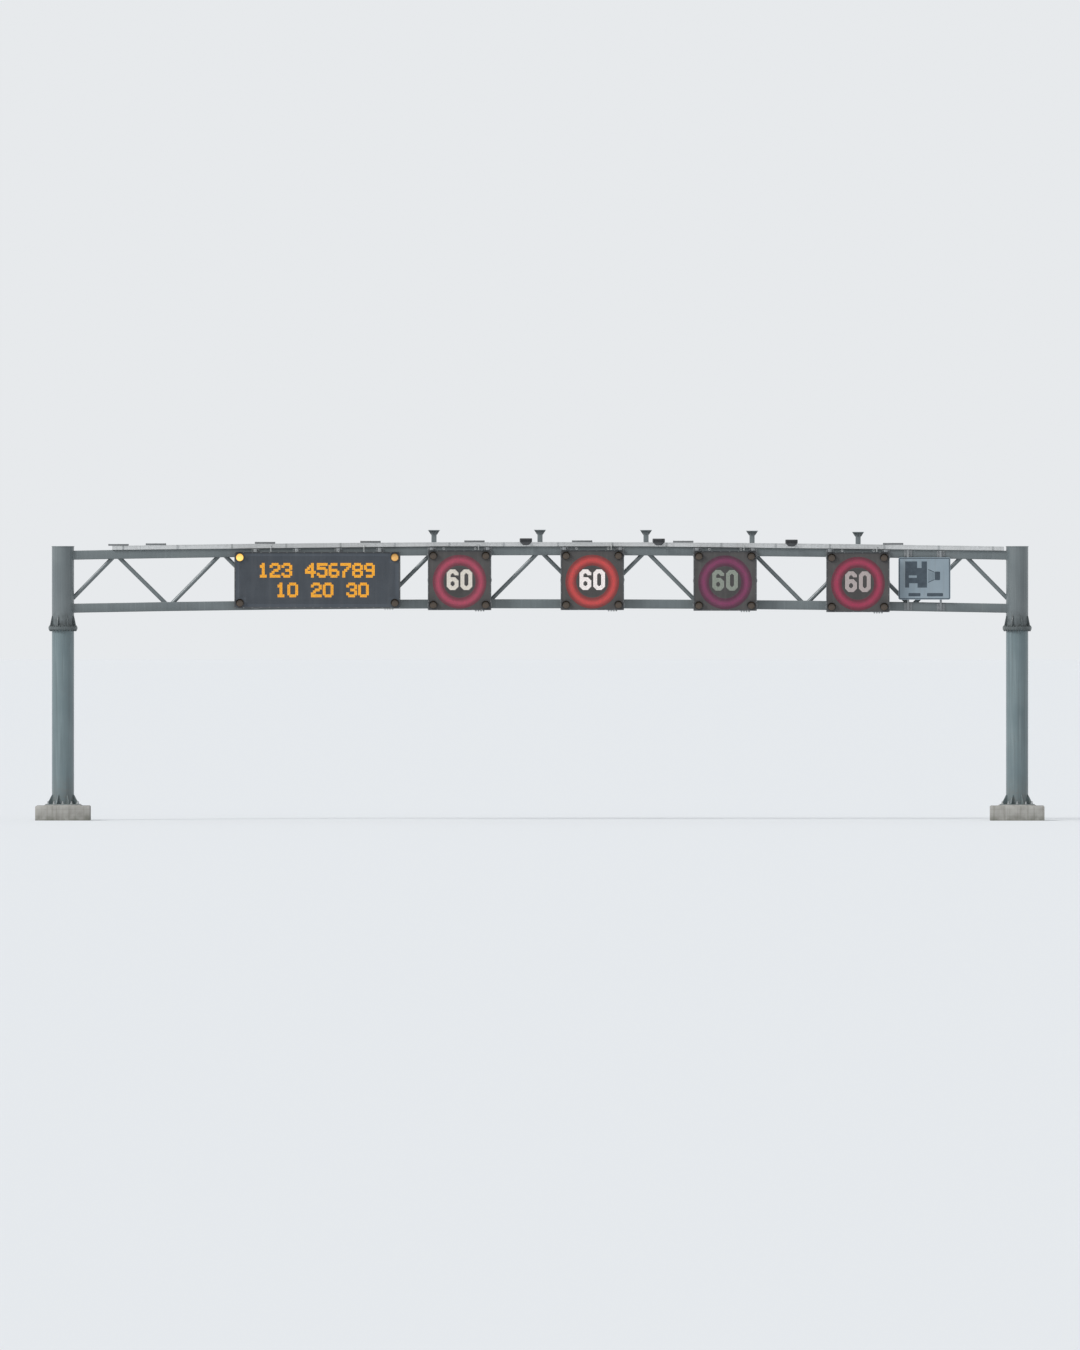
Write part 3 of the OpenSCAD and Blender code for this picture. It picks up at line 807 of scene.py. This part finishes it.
tray_low, tray_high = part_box("cable_tray")
eye = [(EYE_R + p.x, p.y) for p in circle(Vector(), EYE_WIRE, WIRE_SIDES)]
glands = []
for sign in SIGNS:
    low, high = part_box(sign + "_case")
    wide = high.x - low.x > 3
    middle_y, feed_y = (low.y + high.y) / 2, tray_low.y - CONDUIT_OUT
    bm = bmesh.new()
    for x in (low.x + WIDE_INSET, high.x - WIDE_INSET) if wide else (high.x - CONDUIT_INSET,):
        level = chord_top(x) + CONDUIT_RISE
        bend = [Vector((x, feed_y + BEND_R * (1 - math.sin(t)), level - BEND_R * (1 - math.cos(t))))
                for t in evenly(0, math.pi / 2, BEND_STEP)]
        spots = [Vector((x, tray_low.y + 0.004, level)), *bend, Vector((x, feed_y, high.z))]
        pipe(bm, spots, CONDUIT_R, CONDUIT_SIDES)
        glands.append(spots[-1])
    piece(sign + "_conduit", bm, zinc)
    bm = bmesh.new()
    eyes = 4 if wide else 2
    for x in (low.x + (high.x - low.x) * (i + 0.5) / eyes for i in range(eyes)):
        lathe(bm, Vector((x, middle_y, high.z + EYE_RISE)), eye, EYE_SIDES, forwards=True, looped=True)
        cuboid(bm, (x - EYE_FOOT, middle_y - EYE_FOOT, high.z + 0.003),
               (x + EYE_FOOT, middle_y + EYE_FOOT, high.z + EYE_FOOT_T))
    piece(sign + "_lifting_eyes", bm, zinc, sharpest=50)
    spots = [(high.x - SPARE_INSET + SPARE_STEP * i, middle_y, low.z) for i in range(SPARES)]
    bolts(sign + "_glands", spots, SPARE_GLAND, DOWN)
bolts("conduit_glands", glands, GLAND)

# Lane signal fronts
# A matt dark panel of light dots in modules. The lit dots draw a red ring of close circles,
# brightest along its middle, and the plain figures of a speed on a square grid inside it.
# Each figure dot sits on a tile of painted glow.


def shade(colour, share):
    """A colour dimmed to a share of itself."""
    return tuple(part * share for part in colour)


def panel_finish(name, dark, light, dusted, seam):
    """Matt panel paint, dusty in runs, with fine seams between square modules."""
    made, surface, where = shader(name, 0.6)
    lines = calc("MAXIMUM", grooves(where, "X", seam, 0.002), grooves(where, "Z", seam, 0.002))
    runs = streaks(where, 0.5, 0.75, 9, 0.7)
    put(surface, {"Base Color": cloudy(where, 2.0, dark, light, (runs, 0.3, dusted),
                                       (lines, 0.7, shade(dark, 0.35)))})
    relief(surface, calc("SUBTRACT", noise(where, 300.0), lines), 0.0008, 0.6)
    return made


def dress(node, finish):
    """Gives its finish to a frame node that shows as it is."""
    nodes[node].data.materials.clear()
    nodes[node].data.materials.append(finish)


def glow(name, colour, strength, centre=None, middle=0.0, spread=1.0, edge=1.0):
    """Coloured plastic with its own light, dimmer away from a circle: a light dot's lens, and also the tiles
    of painted glow round lit dots.
    """
    made, surface, where = shader(name, 0.35)
    varied = blend(noise(where, 55.0, 0.2, 0.8), shade(colour, 0.72), colour)
    if centre is not None:
        out = add("ShaderNodeVectorMath", {0: where, 1: centre}, operation="DISTANCE")["Value"]
        off = calc("ABSOLUTE", calc("SUBTRACT", out, middle))
        fade = ranged(off, 0, spread, 1.0, edge, interpolation_type="SMOOTHSTEP")
        varied = blend(1.0, varied, fade, "MULTIPLY")
    put(surface, {"Base Color": varied, "Emission Color": varied, "Emission Strength": strength})
    return made


given = begin_tree("light_dot", Radius="Float", Height="Float", Turn="Rotation")
dome = add("GeometryNodeMeshCone", {
    "Vertices": 7, "Radius Bottom": given["Radius"], "Radius Top": times(given["Radius"], 0.62),
    "Depth": given["Height"]})[0]
dot_tree = end_tree(on_points(given, dome), given)


def dots(name, points, size, finish, slot):
    """Light dots on points. A size is their radius and height."""
    sizes = dict(zip(("Radius", "Height"), size), Turn=FORWARDS)
    return grown(name, points, [], dot_tree, sizes, finish, slot)


def in_block(u, v, w, h, cut):
    """Whether a grid place lies in a block with cut corners."""
    return abs(u) <= w and abs(v) <= h and abs(u) + abs(v) <= w + h - cut


def in_nought(u, v):
    """Whether a grid place belongs to the figure 0."""
    return in_block(u, v, 5.5, 10, 3) and not in_block(u, v, 1.5, 6, 1)


def in_six(u, v):
    """Whether a grid place belongs to the figure 6: a bowl, a stem and the top of a 0."""
    bowl = in_block(u, v + 4, 5.5, 6, 3) and not in_block(u, v + 4, 1.5, 2, 1)
    return bowl or (in_nought(u, v) and (v >= 7 or (u < -1 and v >= -4) or (u > 1 and v >= 5)))


RING_CIRCLES, RING_INNER, RING_DROP = 11, 0.455, 0.043
GRID, FIGURE_APART, FIGURE_RISE = 0.027, 7, 2
SINK, TILE, TILE_T = 0.0005, 0.026, 0.003
RING_DOT, UNLIT_DOT = (0.0125, 0.006), (0.008, 0.005)
REDS = ((0.47, 0.056, 0.116), (0.66, 0.060, 0.058), (0.230, 0.026, 0.110), (0.405, 0.024, 0.086))
WHITES = ((0.77, 0.72, 0.64), (0.96, 0.89, 0.87), (0.27, 0.30, 0.255), (0.46, 0.40, 0.39))
signal_panel = panel_finish("signal_panel", (0.050, 0.047, 0.046), (0.070, 0.066, 0.064),
                            (0.115, 0.108, 0.102), 0.432)
dark_lamp, surface, where = shader("unlit_lamp", 0.3)
put(surface, {"Base Color": cloudy(where, 40.0, (0.022, 0.022, 0.024), (0.05, 0.046, 0.04))})
for sign, ring_red, figure_white in zip(SIGNS, REDS, WHITES):
    number = sign[-1]
    low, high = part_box(sign + "_face")
    dress(sign + "_face", signal_panel)
    centre = Vector(((low.x + high.x) / 2, low.y + SINK, (low.z + high.z) / 2 - RING_DROP))
    spots = []
    for r in (RING_INNER + row * GRID for row in range(RING_CIRCLES)):
        spots += circle(centre, r, round(math.tau * r / GRID), upright=True)
    middle = RING_INNER + GRID * (RING_CIRCLES - 1) / 2
    red = glow("red_light_" + number, ring_red, 0.6, centre, middle, 0.13, 0.34)
    dots(sign + "_ring", spots, RING_DOT, red, "signal_panel")

    lit, unlit = [], []
    across = int(RING_INNER / GRID)
    for u in (i + 0.5 for i in range(-across, across)):
        for v in range(-across, across + 1):
            rise = v - FIGURE_RISE
            on = in_six(u + FIGURE_APART, rise) or in_nought(u - FIGURE_APART, rise)
            if math.hypot(u, v) * GRID < RING_INNER - GRID:
                (lit if on else unlit).append(centre + GRID * Vector((u, 0, v)))
    dots(sign + "_figures", lit, RING_DOT, glow("white_light_" + number, figure_white, 0.55), "signal_panel")
    # Painted glow: a dim lit tile behind each figure dot stands in for the light spreading round it.
    painted_glow = glow("white_painted_glow_" + number, shade(figure_white, 0.42), 0.4)
    blocks(sign + "_figure_glow", lit, (TILE, TILE_T, TILE), painted_glow, "signal_panel")
    dots(sign + "_unlit_dots", unlit, UNLIT_DOT, dark_lamp, "signal_panel")

# Message sign front
# A dark blue-grey panel with a full grid of small lamps, most of them unlit. The lit ones
# are amber and show rows of plain counting figures, drawn three lamps thick. Each lit lamp
# sits on a tile of painted amber glow.
LIT_LAMP, UNLIT_LAMP = (0.0131, 0.006), (0.0075, 0.005)
MARGIN, CORNER = 0.10, 0.29
CELL, STROKE, HALF_HEIGHT = 12, 3, 7
ROWS = (("123 456789", 10), (" 10 20 30", -10))
GLYPHS = {
    "0": ".###. #...# #...# #...# #...# #...# .###.",
    "1": "..#.. .##.. ..#.. ..#.. ..#.. ..#.. .###.",
    "2": ".###. #...# ....# ..##. .#... #.... #####",
    "3": ".###. #...# ....# ..##. ....# #...# .###.",
    "4": "...#. ..##. .#.#. #..#. ##### ...#. ...#.",
    "5": "##### #.... ####. ....# ....# #...# .###.",
    "6": ".###. #.... #.... ####. #...# #...# .###.",
    "7": "##### ....# ...#. ..#.. .#... .#... .#...",
    "8": ".###. #...# #...# .###. #...# #...# .###.",
    "9": ".###. #...# #...# .#### ....# ....# .###.",
}
message_panel = panel_finish("message_panel", (0.046, 0.056, 0.070), (0.061, 0.073, 0.088),
                             (0.105, 0.114, 0.126), 0.756)
dress("message_sign_face", message_panel)
low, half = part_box("message_sign_face")[0], half_size("message_sign_face")
mid = low + half
lit = set()
for text, middle_row in ROWS:
    first = -round(len(text) * CELL / 2)
    for place, mark in enumerate(text):
        for down, line in enumerate(GLYPHS.get(mark, "").split()):
            for i in (i for i, dot in enumerate(line) if dot == "#"):
                left, top = first + place * CELL + 2 * i, middle_row + HALF_HEIGHT - 2 * down
                lit |= {(left + a, top - b) for a in range(STROKE) for b in range(STROKE)}
across, up = int((half.x - MARGIN) / GRID), int((half.z - MARGIN) / GRID)
unlit = [(i, j) for i in range(-across, across + 1) for j in range(-up, up + 1) if (i, j) not in lit
         and not (abs(i * GRID) > half.x - CORNER and abs(j * GRID) > half.z - CORNER)]
lit, unlit = [[(mid.x + i * GRID, low.y + SINK, mid.z + j * GRID) for i, j in lamps]
              for lamps in (sorted(lit), unlit)]
amber = glow("amber_light", (0.95, 0.45, 0.028), 0.6)
# Painted glow: a dim lit amber tile behind each lit lamp stands in for the light spreading round it.
amber_painted_glow = glow("amber_painted_glow", (0.42, 0.15, 0.008), 0.1)
dots("message_lit_lamps", lit, LIT_LAMP, amber, "message_panel")
blocks("message_lamp_glow", lit, (TILE, TILE_T, TILE), amber_painted_glow, "message_panel")
dots("message_unlit_lamps", unlit, UNLIT_LAMP, dark_lamp, "message_panel")

# Corner lanterns
# Amber warning lanterns in each corner of a front: a black round housing with a ridged,
# domed lens, under a hood that is cut away below. The message sign's upper two are lit.
black_plastic, surface, where = shader("black_plastic", 0.38)
put(surface, {"Base Color": cloudy(where, 12.0, (0.012, 0.012, 0.013), (0.030, 0.030, 0.031))})
relief(surface, noise(where, 350.0), 0.0003, 0.5)


def lens(name, colour, strength=None):
    """Amber glass with a fine prism pattern."""
    made, surface, where = shader(name, 0.12)
    prisms = cells(where, 95.0)
    varied = blend(prisms, colour, shade(colour, 0.6))
    put(surface, {"Base Color": varied, "Coat Weight": 0.4})
    if strength:
        put(surface, {"Emission Color": varied, "Emission Strength": strength})
    relief(surface, prisms, 0.0015, 0.5)
    return made


finishes = (black_plastic, lens("amber_lens", (0.074, 0.048, 0.028)),
            lens("bright_lens", (1.0, 0.58, 0.13), 1.0), lens("faint_lens", (0.74, 0.40, 0.11), 0.45))
UNLIT, BRIGHT, FAINT = 1, 2, 3
LANTERN_SIDES, LANTERN_WALL, LANTERN_DEPTH = 32, 0.012, 0.040
LENS_BULGE, LENS_RIDGE, LENS_STEPS = 0.030, 0.0018, 15
HOOD_FROM, HOOD_TO, HOOD_STEP = math.radians(-14), math.radians(194), math.radians(7.4)
HOOD_WALL, HOOD_SHORTEST, HOOD_CURVE = 0.004, 0.35, 1.3


def hood(bm, centre, radius, reach):
    """An open curved hood from just below the sides over the top, longest at the top."""
    rows = []
    for a in evenly(HOOD_FROM, HOOD_TO, HOOD_STEP):
        share = HOOD_SHORTEST + (1 - HOOD_SHORTEST) * max(0.0, math.sin(a)) ** HOOD_CURVE
        out = LANTERN_DEPTH + (reach - LANTERN_DEPTH) * share
        rows.append([centre + Vector((r * math.cos(a), -y, r * math.sin(a)))
                     for r, y in ((radius, 0.0), (radius, out), (radius - HOOD_WALL, out),
                                  (radius - HOOD_WALL, 0.0))])
    sweep(bm, rows)


for sign in SIGNS:
    bm = bmesh.new()
    glasses = (UNLIT, BRIGHT, UNLIT, FAINT) if sign == "message_sign" else (UNLIT,) * 4
    for glass, (low, high) in zip(glasses, islands(sign + "_lanterns")):
        radius = (high.x - low.x) / 2
        centre = Vector(((low.x + high.x) / 2, high.y, high.z - radius))
        glass_r = radius - LANTERN_WALL
        lathe(bm, centre, [(radius, 0.0), (radius, 0.034), (radius - 0.006, LANTERN_DEPTH),
                           (glass_r, LANTERN_DEPTH)], LANTERN_SIDES, forwards=True)
        crown = [(glass_r * (1 - k / LENS_STEPS), 0.038 + LENS_RIDGE * (k % 2)
                  + LENS_BULGE * math.sqrt(1 - (1 - k / LENS_STEPS) ** 2)) for k in range(LENS_STEPS)]
        lathe(bm, centre, crown, LANTERN_SIDES, forwards=True, index=glass)
        hood(bm, centre, radius, high.y - low.y)
    piece(sign + "_hooded_lanterns", bm, finishes, "lantern_plastic", sign + "_lanterns")

# Camera sign
# A thin aluminium plate with rounded corners, faced in white reflective sheet that is coloured
# blue-grey as painted shade, with a dark border and a plain sketch of a box camera, clipped to
# channels behind.
# Painted shade: the white sheet is given the blue-grey that it shows in shade.
shaded_sheeting, surface, where = shader("shaded_white_sheeting", 0.4)
put(surface, {"Base Color": cloudy(where, 1.8, (0.225, 0.285, 0.325), (0.275, 0.335, 0.375),
                                   (cells(where, 160.0), 0.35, (0.20, 0.25, 0.29)),
                                   (streaks(where, 0.5, 0.72, 12, 0.6), 0.35, (0.20, 0.215, 0.22)))})
ink, surface, where = shader("dark_film", 0.45)
put(surface, {"Base Color": cloudy(where, 9.0, (0.034, 0.050, 0.066), (0.054, 0.076, 0.096))})
mill, surface, where = shader("mill_aluminium", 0.35, 0.9)
drawn = noise(where, 1.0, stretch=(2, 220, 220))
put(surface, {"Base Color": blend(drawn, (0.50, 0.51, 0.52), (0.62, 0.63, 0.64))})
FILM = 0.0012
PLATE_CORNER, BORDER = 0.050, ((0.018, 0.036), (0.040, 0.018))
BODY = ((-0.53, 0.47), (-0.20, 0.47), (-0.20, 0.29), (-0.08, 0.29), (-0.08, 0.47), (0.07, 0.47),
        (0.07, -0.25), (-0.19, -0.25), (-0.19, -0.13), (-0.42, -0.13), (-0.42, -0.25), (-0.53, -0.25))
LENS_FRONT, WINDOW = (0.28, -0.045, 0.43, 0.19, 0.03), (-0.43, 0.02, -0.21, 0.085, 0.012)
BARS = ((-0.44, -0.49, -0.11, -0.40, 0.02), (0.07, -0.49, 0.51, -0.40, 0.02))
BELLOWS, BELLOWS_HALF, BELLOWS_LEVEL, BELLOWS_LINE = (0.10, 0.27), (0.19, 0.115), 0.0725, 0.022
FOLD_INSET, FOLD_STEP, FOLD_HALF, FOLD_GAP, FOLD_CORNER = 0.02, 0.035, 0.005, 0.006, 0.002
CLIP, CLIP_OUT = (0.020, 0.010, 0.006, 0.008), 0.048
low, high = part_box("camera_sign_plate")
mid, half = (low + high) / 2, (high - low) / 2


def rounded(x0, z0, x1, z1, radius):
    """(x, z) points round a rectangle with rounded corners, placed from the plate's middle."""
    return [((x0 + x1) / 2 + x, (z0 + z1) / 2 + z)
            for x, z in rounded_square((x1 - x0) / 2, (z1 - z0) / 2, radius, 6)]


def slab(bm, outline, front=low.y - FILM, back=low.y):
    """A flat plate with an outline placed from the plate's middle, between two depths."""
    sweep(bm, [[(mid.x + x, y, mid.z + z) for x, z in outline] for y in (back, front)])


def bellows_half(x):
    """The bellows' half height at a place between the body and the lens."""
    share = (x - BELLOWS[0]) / (BELLOWS[1] - BELLOWS[0])
    return BELLOWS_HALF[0] + (BELLOWS_HALF[1] - BELLOWS_HALF[0]) * share


bm = bmesh.new()
slab(bm, rounded(-half.x, -half.z, half.x, half.z, PLATE_CORNER), low.y, high.y)
round_edges(bm, 0.0008)
piece("camera_plate", bm, shaded_sheeting, "sign_plate", "camera_sign_plate")
bm = bmesh.new()
outer, inner = [[(mid.x + x, mid.z + z)
                 for x, z in rounded(a - half.x, a - half.z, half.x - a, half.z - a, r)] for a, r in BORDER]
sweep(bm, [[(x, y, z) for x, z in outline]
           for outline, y in ((outer, low.y), (outer, low.y - FILM), (inner, low.y - FILM), (inner, low.y))],
      looped=True)
slab(bm, BODY)
for way in (-1, 1):
    slab(bm, [(x, BELLOWS_LEVEL + way * (bellows_half(x) - inset))
              for x, inset in zip(BELLOWS + BELLOWS[::-1], (0, 0, BELLOWS_LINE, BELLOWS_LINE))])
for x in evenly(BELLOWS[0] + FOLD_INSET, BELLOWS[1] - FOLD_INSET, FOLD_STEP):
    rise = bellows_half(x) - BELLOWS_LINE - FOLD_GAP
    slab(bm, rounded(x - FOLD_HALF, BELLOWS_LEVEL - rise, x + FOLD_HALF, BELLOWS_LEVEL + rise, FOLD_CORNER))
for shape in (LENS_FRONT, *BARS):
    slab(bm, rounded(*shape))
piece("camera_plate_film", bm, ink, "sign_plate")
bm = bmesh.new()
slab(bm, rounded(*WINDOW), low.y - 2 * FILM, low.y - FILM)
piece("camera_plate_window", bm, shaded_sheeting, "sign_plate")
softened("plate_channels", "camera_sign_channels", 0.003, 2, mill, "channel_aluminium")
spots = [((rail[0].x + rail[1].x) / 2 + way * CLIP_OUT, rail[0].y + 0.004, (channel[0].z + channel[1].z) / 2)
         for rail in islands("camera_sign_rails") for channel in islands("camera_sign_channels")
         for way in (-1, 1)]
bolts("channel_clips", spots, CLIP, BACK)

# Board posts
# Square posts stand on the truss's upper nodes to carry a board. They are welded
# to the chord and end in drilled head plates, stiffened from below.
POST_CORNER, POST_WELD = 0.012, (0.007, 0.014)
RIB_OUT, RIB_EDGE, RIB_DEPTH, RIB_T = 0.075, 0.015, 0.110, 0.012
softened("square_posts", "board_posts", POST_CORNER, 3, truss_paint, "truss_steel")
softened("post_heads", "board_post_heads", 0.0015, 1, truss_paint, "truss_steel")
bm = bmesh.new()
rings = []
for low, high in islands("board_posts"):
    axis, half = Vector(((low.x + high.x) / 2, (low.y + high.y) / 2, 0)), (high.x - low.x) / 2
    rings += [[axis + Vector((x, y, z)) for x, y in rounded_square(half, half, POST_CORNER, 3)]
              for z in (low.z + 0.002, high.z)]
    corners = ((half, 0), (half + RIB_OUT, 0), (half + RIB_OUT, -RIB_EDGE),
               (half + POST_CORNER, -RIB_DEPTH), (half, -RIB_DEPTH))
    for turn in (Matrix.Rotation(math.pi / 2 * i, 3, "Z") for i in range(4)):
        sweep(bm, [[axis + turn @ Vector((out, offset, high.z + z)) for out, z in corners]
                   for offset in (-RIB_T / 2, RIB_T / 2)])
piece("post_stiffeners", bm, truss_paint, "truss_steel")
welds("post_welds", rings, POST_WELD, truss_paint, "truss_steel")

# Luminaires
# Floodlights for a board above, each on a short upright and an arm. The housing narrows
# downwards, with cooling fins on its front and a glass lid that looks up.
shell_coat, surface, where = shader("luminaire_coat", 0.5)
put(surface, {"Base Color": cloudy(where, 5.0, (0.040, 0.042, 0.045), (0.060, 0.063, 0.067),
                                   (dust(where, 0.4, 14.0, 0.2, 0.8), 0.5, (0.17, 0.17, 0.16)))})
relief(surface, noise(where, 380.0), 0.0003, 0.6)
lid_glass, surface, where = shader("lid_glass", 0.08)
put(surface, {"Base Color": blend(cells(where, 26.0), (0.55, 0.57, 0.56), (0.16, 0.17, 0.18)),
              "Coat Weight": 1.0})
RIM_INSET, RIM_W = 0.006, 0.018
FIN, FIN_STEP, FIN_INSET, FIN_OUT, FIN_DROP = (0.004, 0.020, 0.075), 0.022, 0.04, 0.006, 0.050
BACK_BOLT, BACK_BOLT_X, BACK_BOLT_Z, BACK_BOLT_DROP = (0.016, 0.008, 0.005, 0.004), 0.05, 0.03, 0.07
FOOT_W, FOOT_FRONT, FOOT_T = 0.085, 0.068, 0.012
FOOT_BOLT, FOOT_BOLT_OUT = (0.018, 0.009, 0.005, 0.006), 0.062
softened("light_arms", "luminaire_brackets", 0.006, 2, zinc)
softened("light_housings", "luminaires", 0.014, 3, shell_coat, "luminaire_shell")
rims, lids = bmesh.new(), bmesh.new()
fins, back_bolts = [], []
for low, high in islands("luminaires"):
    cuboid(lids, (low.x + RIM_W, low.y + RIM_W, high.z - 0.001),
           (high.x - RIM_W, high.y - RIM_W, high.z + 0.004))
    for x0, y0, x1, y1 in strips(low.x + RIM_INSET, low.y + RIM_INSET, high.x - RIM_INSET,
                                 high.y - RIM_INSET, RIM_W):
        cuboid(rims, (x0, y0, high.z - 0.002), (x1, y1, high.z + 0.008))
    fins += [(x, low.y - FIN_OUT, high.z - FIN_DROP)
             for x in evenly(low.x + FIN_INSET, high.x - FIN_INSET, FIN_STEP)]
    x, z = (low.x + high.x) / 2, high.z - BACK_BOLT_DROP
    back_bolts += [(x + sx * BACK_BOLT_X, high.y, z + sz * BACK_BOLT_Z) for sx in (-1, 1) for sz in (-1, 1)]
piece("light_lids", lids, lid_glass, "luminaire_shell")
piece("light_lid_frames", rims, shell_coat, "luminaire_shell")
blocks("light_fins", fins, FIN, shell_coat, "luminaire_shell")
bolts("light_bolts", back_bolts, BACK_BOLT, BACK)
bm = bmesh.new()
spots = []
for x in ((low.x + high.x) / 2 for low, high in islands("luminaire_brackets")):
    z = chord_top(x)
    cuboid(bm, (x - FOOT_W, -FOOT_FRONT, z - 0.001), (x + FOOT_W, FOOT_W, z + FOOT_T))
    spots += [(x + sx * FOOT_BOLT_OUT, sy * FOOT_BOLT_OUT, z + FOOT_T) for sx in (-1, 1) for sy in (-1, 1)]
round_edges(bm, 0.002)
piece("light_foot_plates", bm, zinc)
bolts("light_foot_bolts", spots, FOOT_BOLT)

# Cable tray
# A galvanised trough with a clipped lid runs along the front of the top chord, with joint
# straps between its lengths and flat boxes on the lid.
bright_zinc = zinc_coat("bright_zinc", (0.50, 0.51, 0.51), (0.66, 0.67, 0.67), (0.58, 0.585, 0.58), 0.2)
softened("tray_trough", "cable_tray", 0.003, 1, bright_zinc)
LID_LIP, LID_T, LID_DEPTH = 0.004, 0.003, 0.022
STRAP, STRAP_STEP, STRAP_INSET, STRAP_DROP = (0.050, 0.006, 0.108), 1.5, 0.3, 0.055
TRAY_SCREW, TRAY_SCREW_Z = (0.014, 0.006, 0.003, 0.002), 0.036
tray_h = tray_high.z - max(chord_top(x) for x in top_stations)
stations = [tray_low.x] + [x for x in top_stations if tray_low.x < x < tray_high.x] + [tray_high.x]
front, back = tray_low.y, tray_high.y
section = ((front - LID_LIP, -LID_DEPTH), (front - LID_LIP, LID_T), (back + LID_LIP, LID_T),
           (back + LID_LIP, -LID_DEPTH), (back + 0.001, -LID_DEPTH), (back + 0.001, -0.001),
           (front - 0.001, -0.001), (front - 0.001, -LID_DEPTH))
bm = bmesh.new()
sweep(bm, [[(x, y, chord_top(x) + tray_h + up) for y, up in section] for x in stations])
piece("tray_lid", bm, bright_zinc)
straps = [(x, front - LID_LIP - 0.001, chord_top(x) + tray_h - STRAP_DROP)
          for x in evenly(tray_low.x + STRAP_INSET, tray_high.x - STRAP_INSET, STRAP_STEP)]
blocks("tray_straps", straps, STRAP, zinc)
spots = [(x, front - LID_LIP - 0.003, z + way * TRAY_SCREW_Z) for x, _, z in straps for way in (-1, 1)]
bolts("tray_screws", spots, TRAY_SCREW, FORWARDS)

# Boxes on the tray
# Flat steel joint boxes with screwed lids, in plain grey, over the places where cables
# leave the tray.
BOX_SCREW, BOX_SCREW_STEP = (0.013, 0.005, 0.003, 0.001), 0.25
INSET_X, INSET_Y = 0.02, 0.014
box_coat = weathered_coat("box_coat", (0.125, 0.133, 0.137), (0.165, 0.172, 0.175), (0.06, 0.062, 0.062),
                          streak=0.25)
softened("joint_boxes", "tray_boxes", 0.004, 2, box_coat, "box_paint")
spots = [(x, y, high.z) for low, high in islands("tray_boxes")
         for x in evenly(low.x + INSET_X, high.x - INSET_X, BOX_SCREW_STEP)
         for y in (low.y + INSET_Y, high.y - INSET_Y)]
bolts("joint_box_screws", spots, BOX_SCREW)
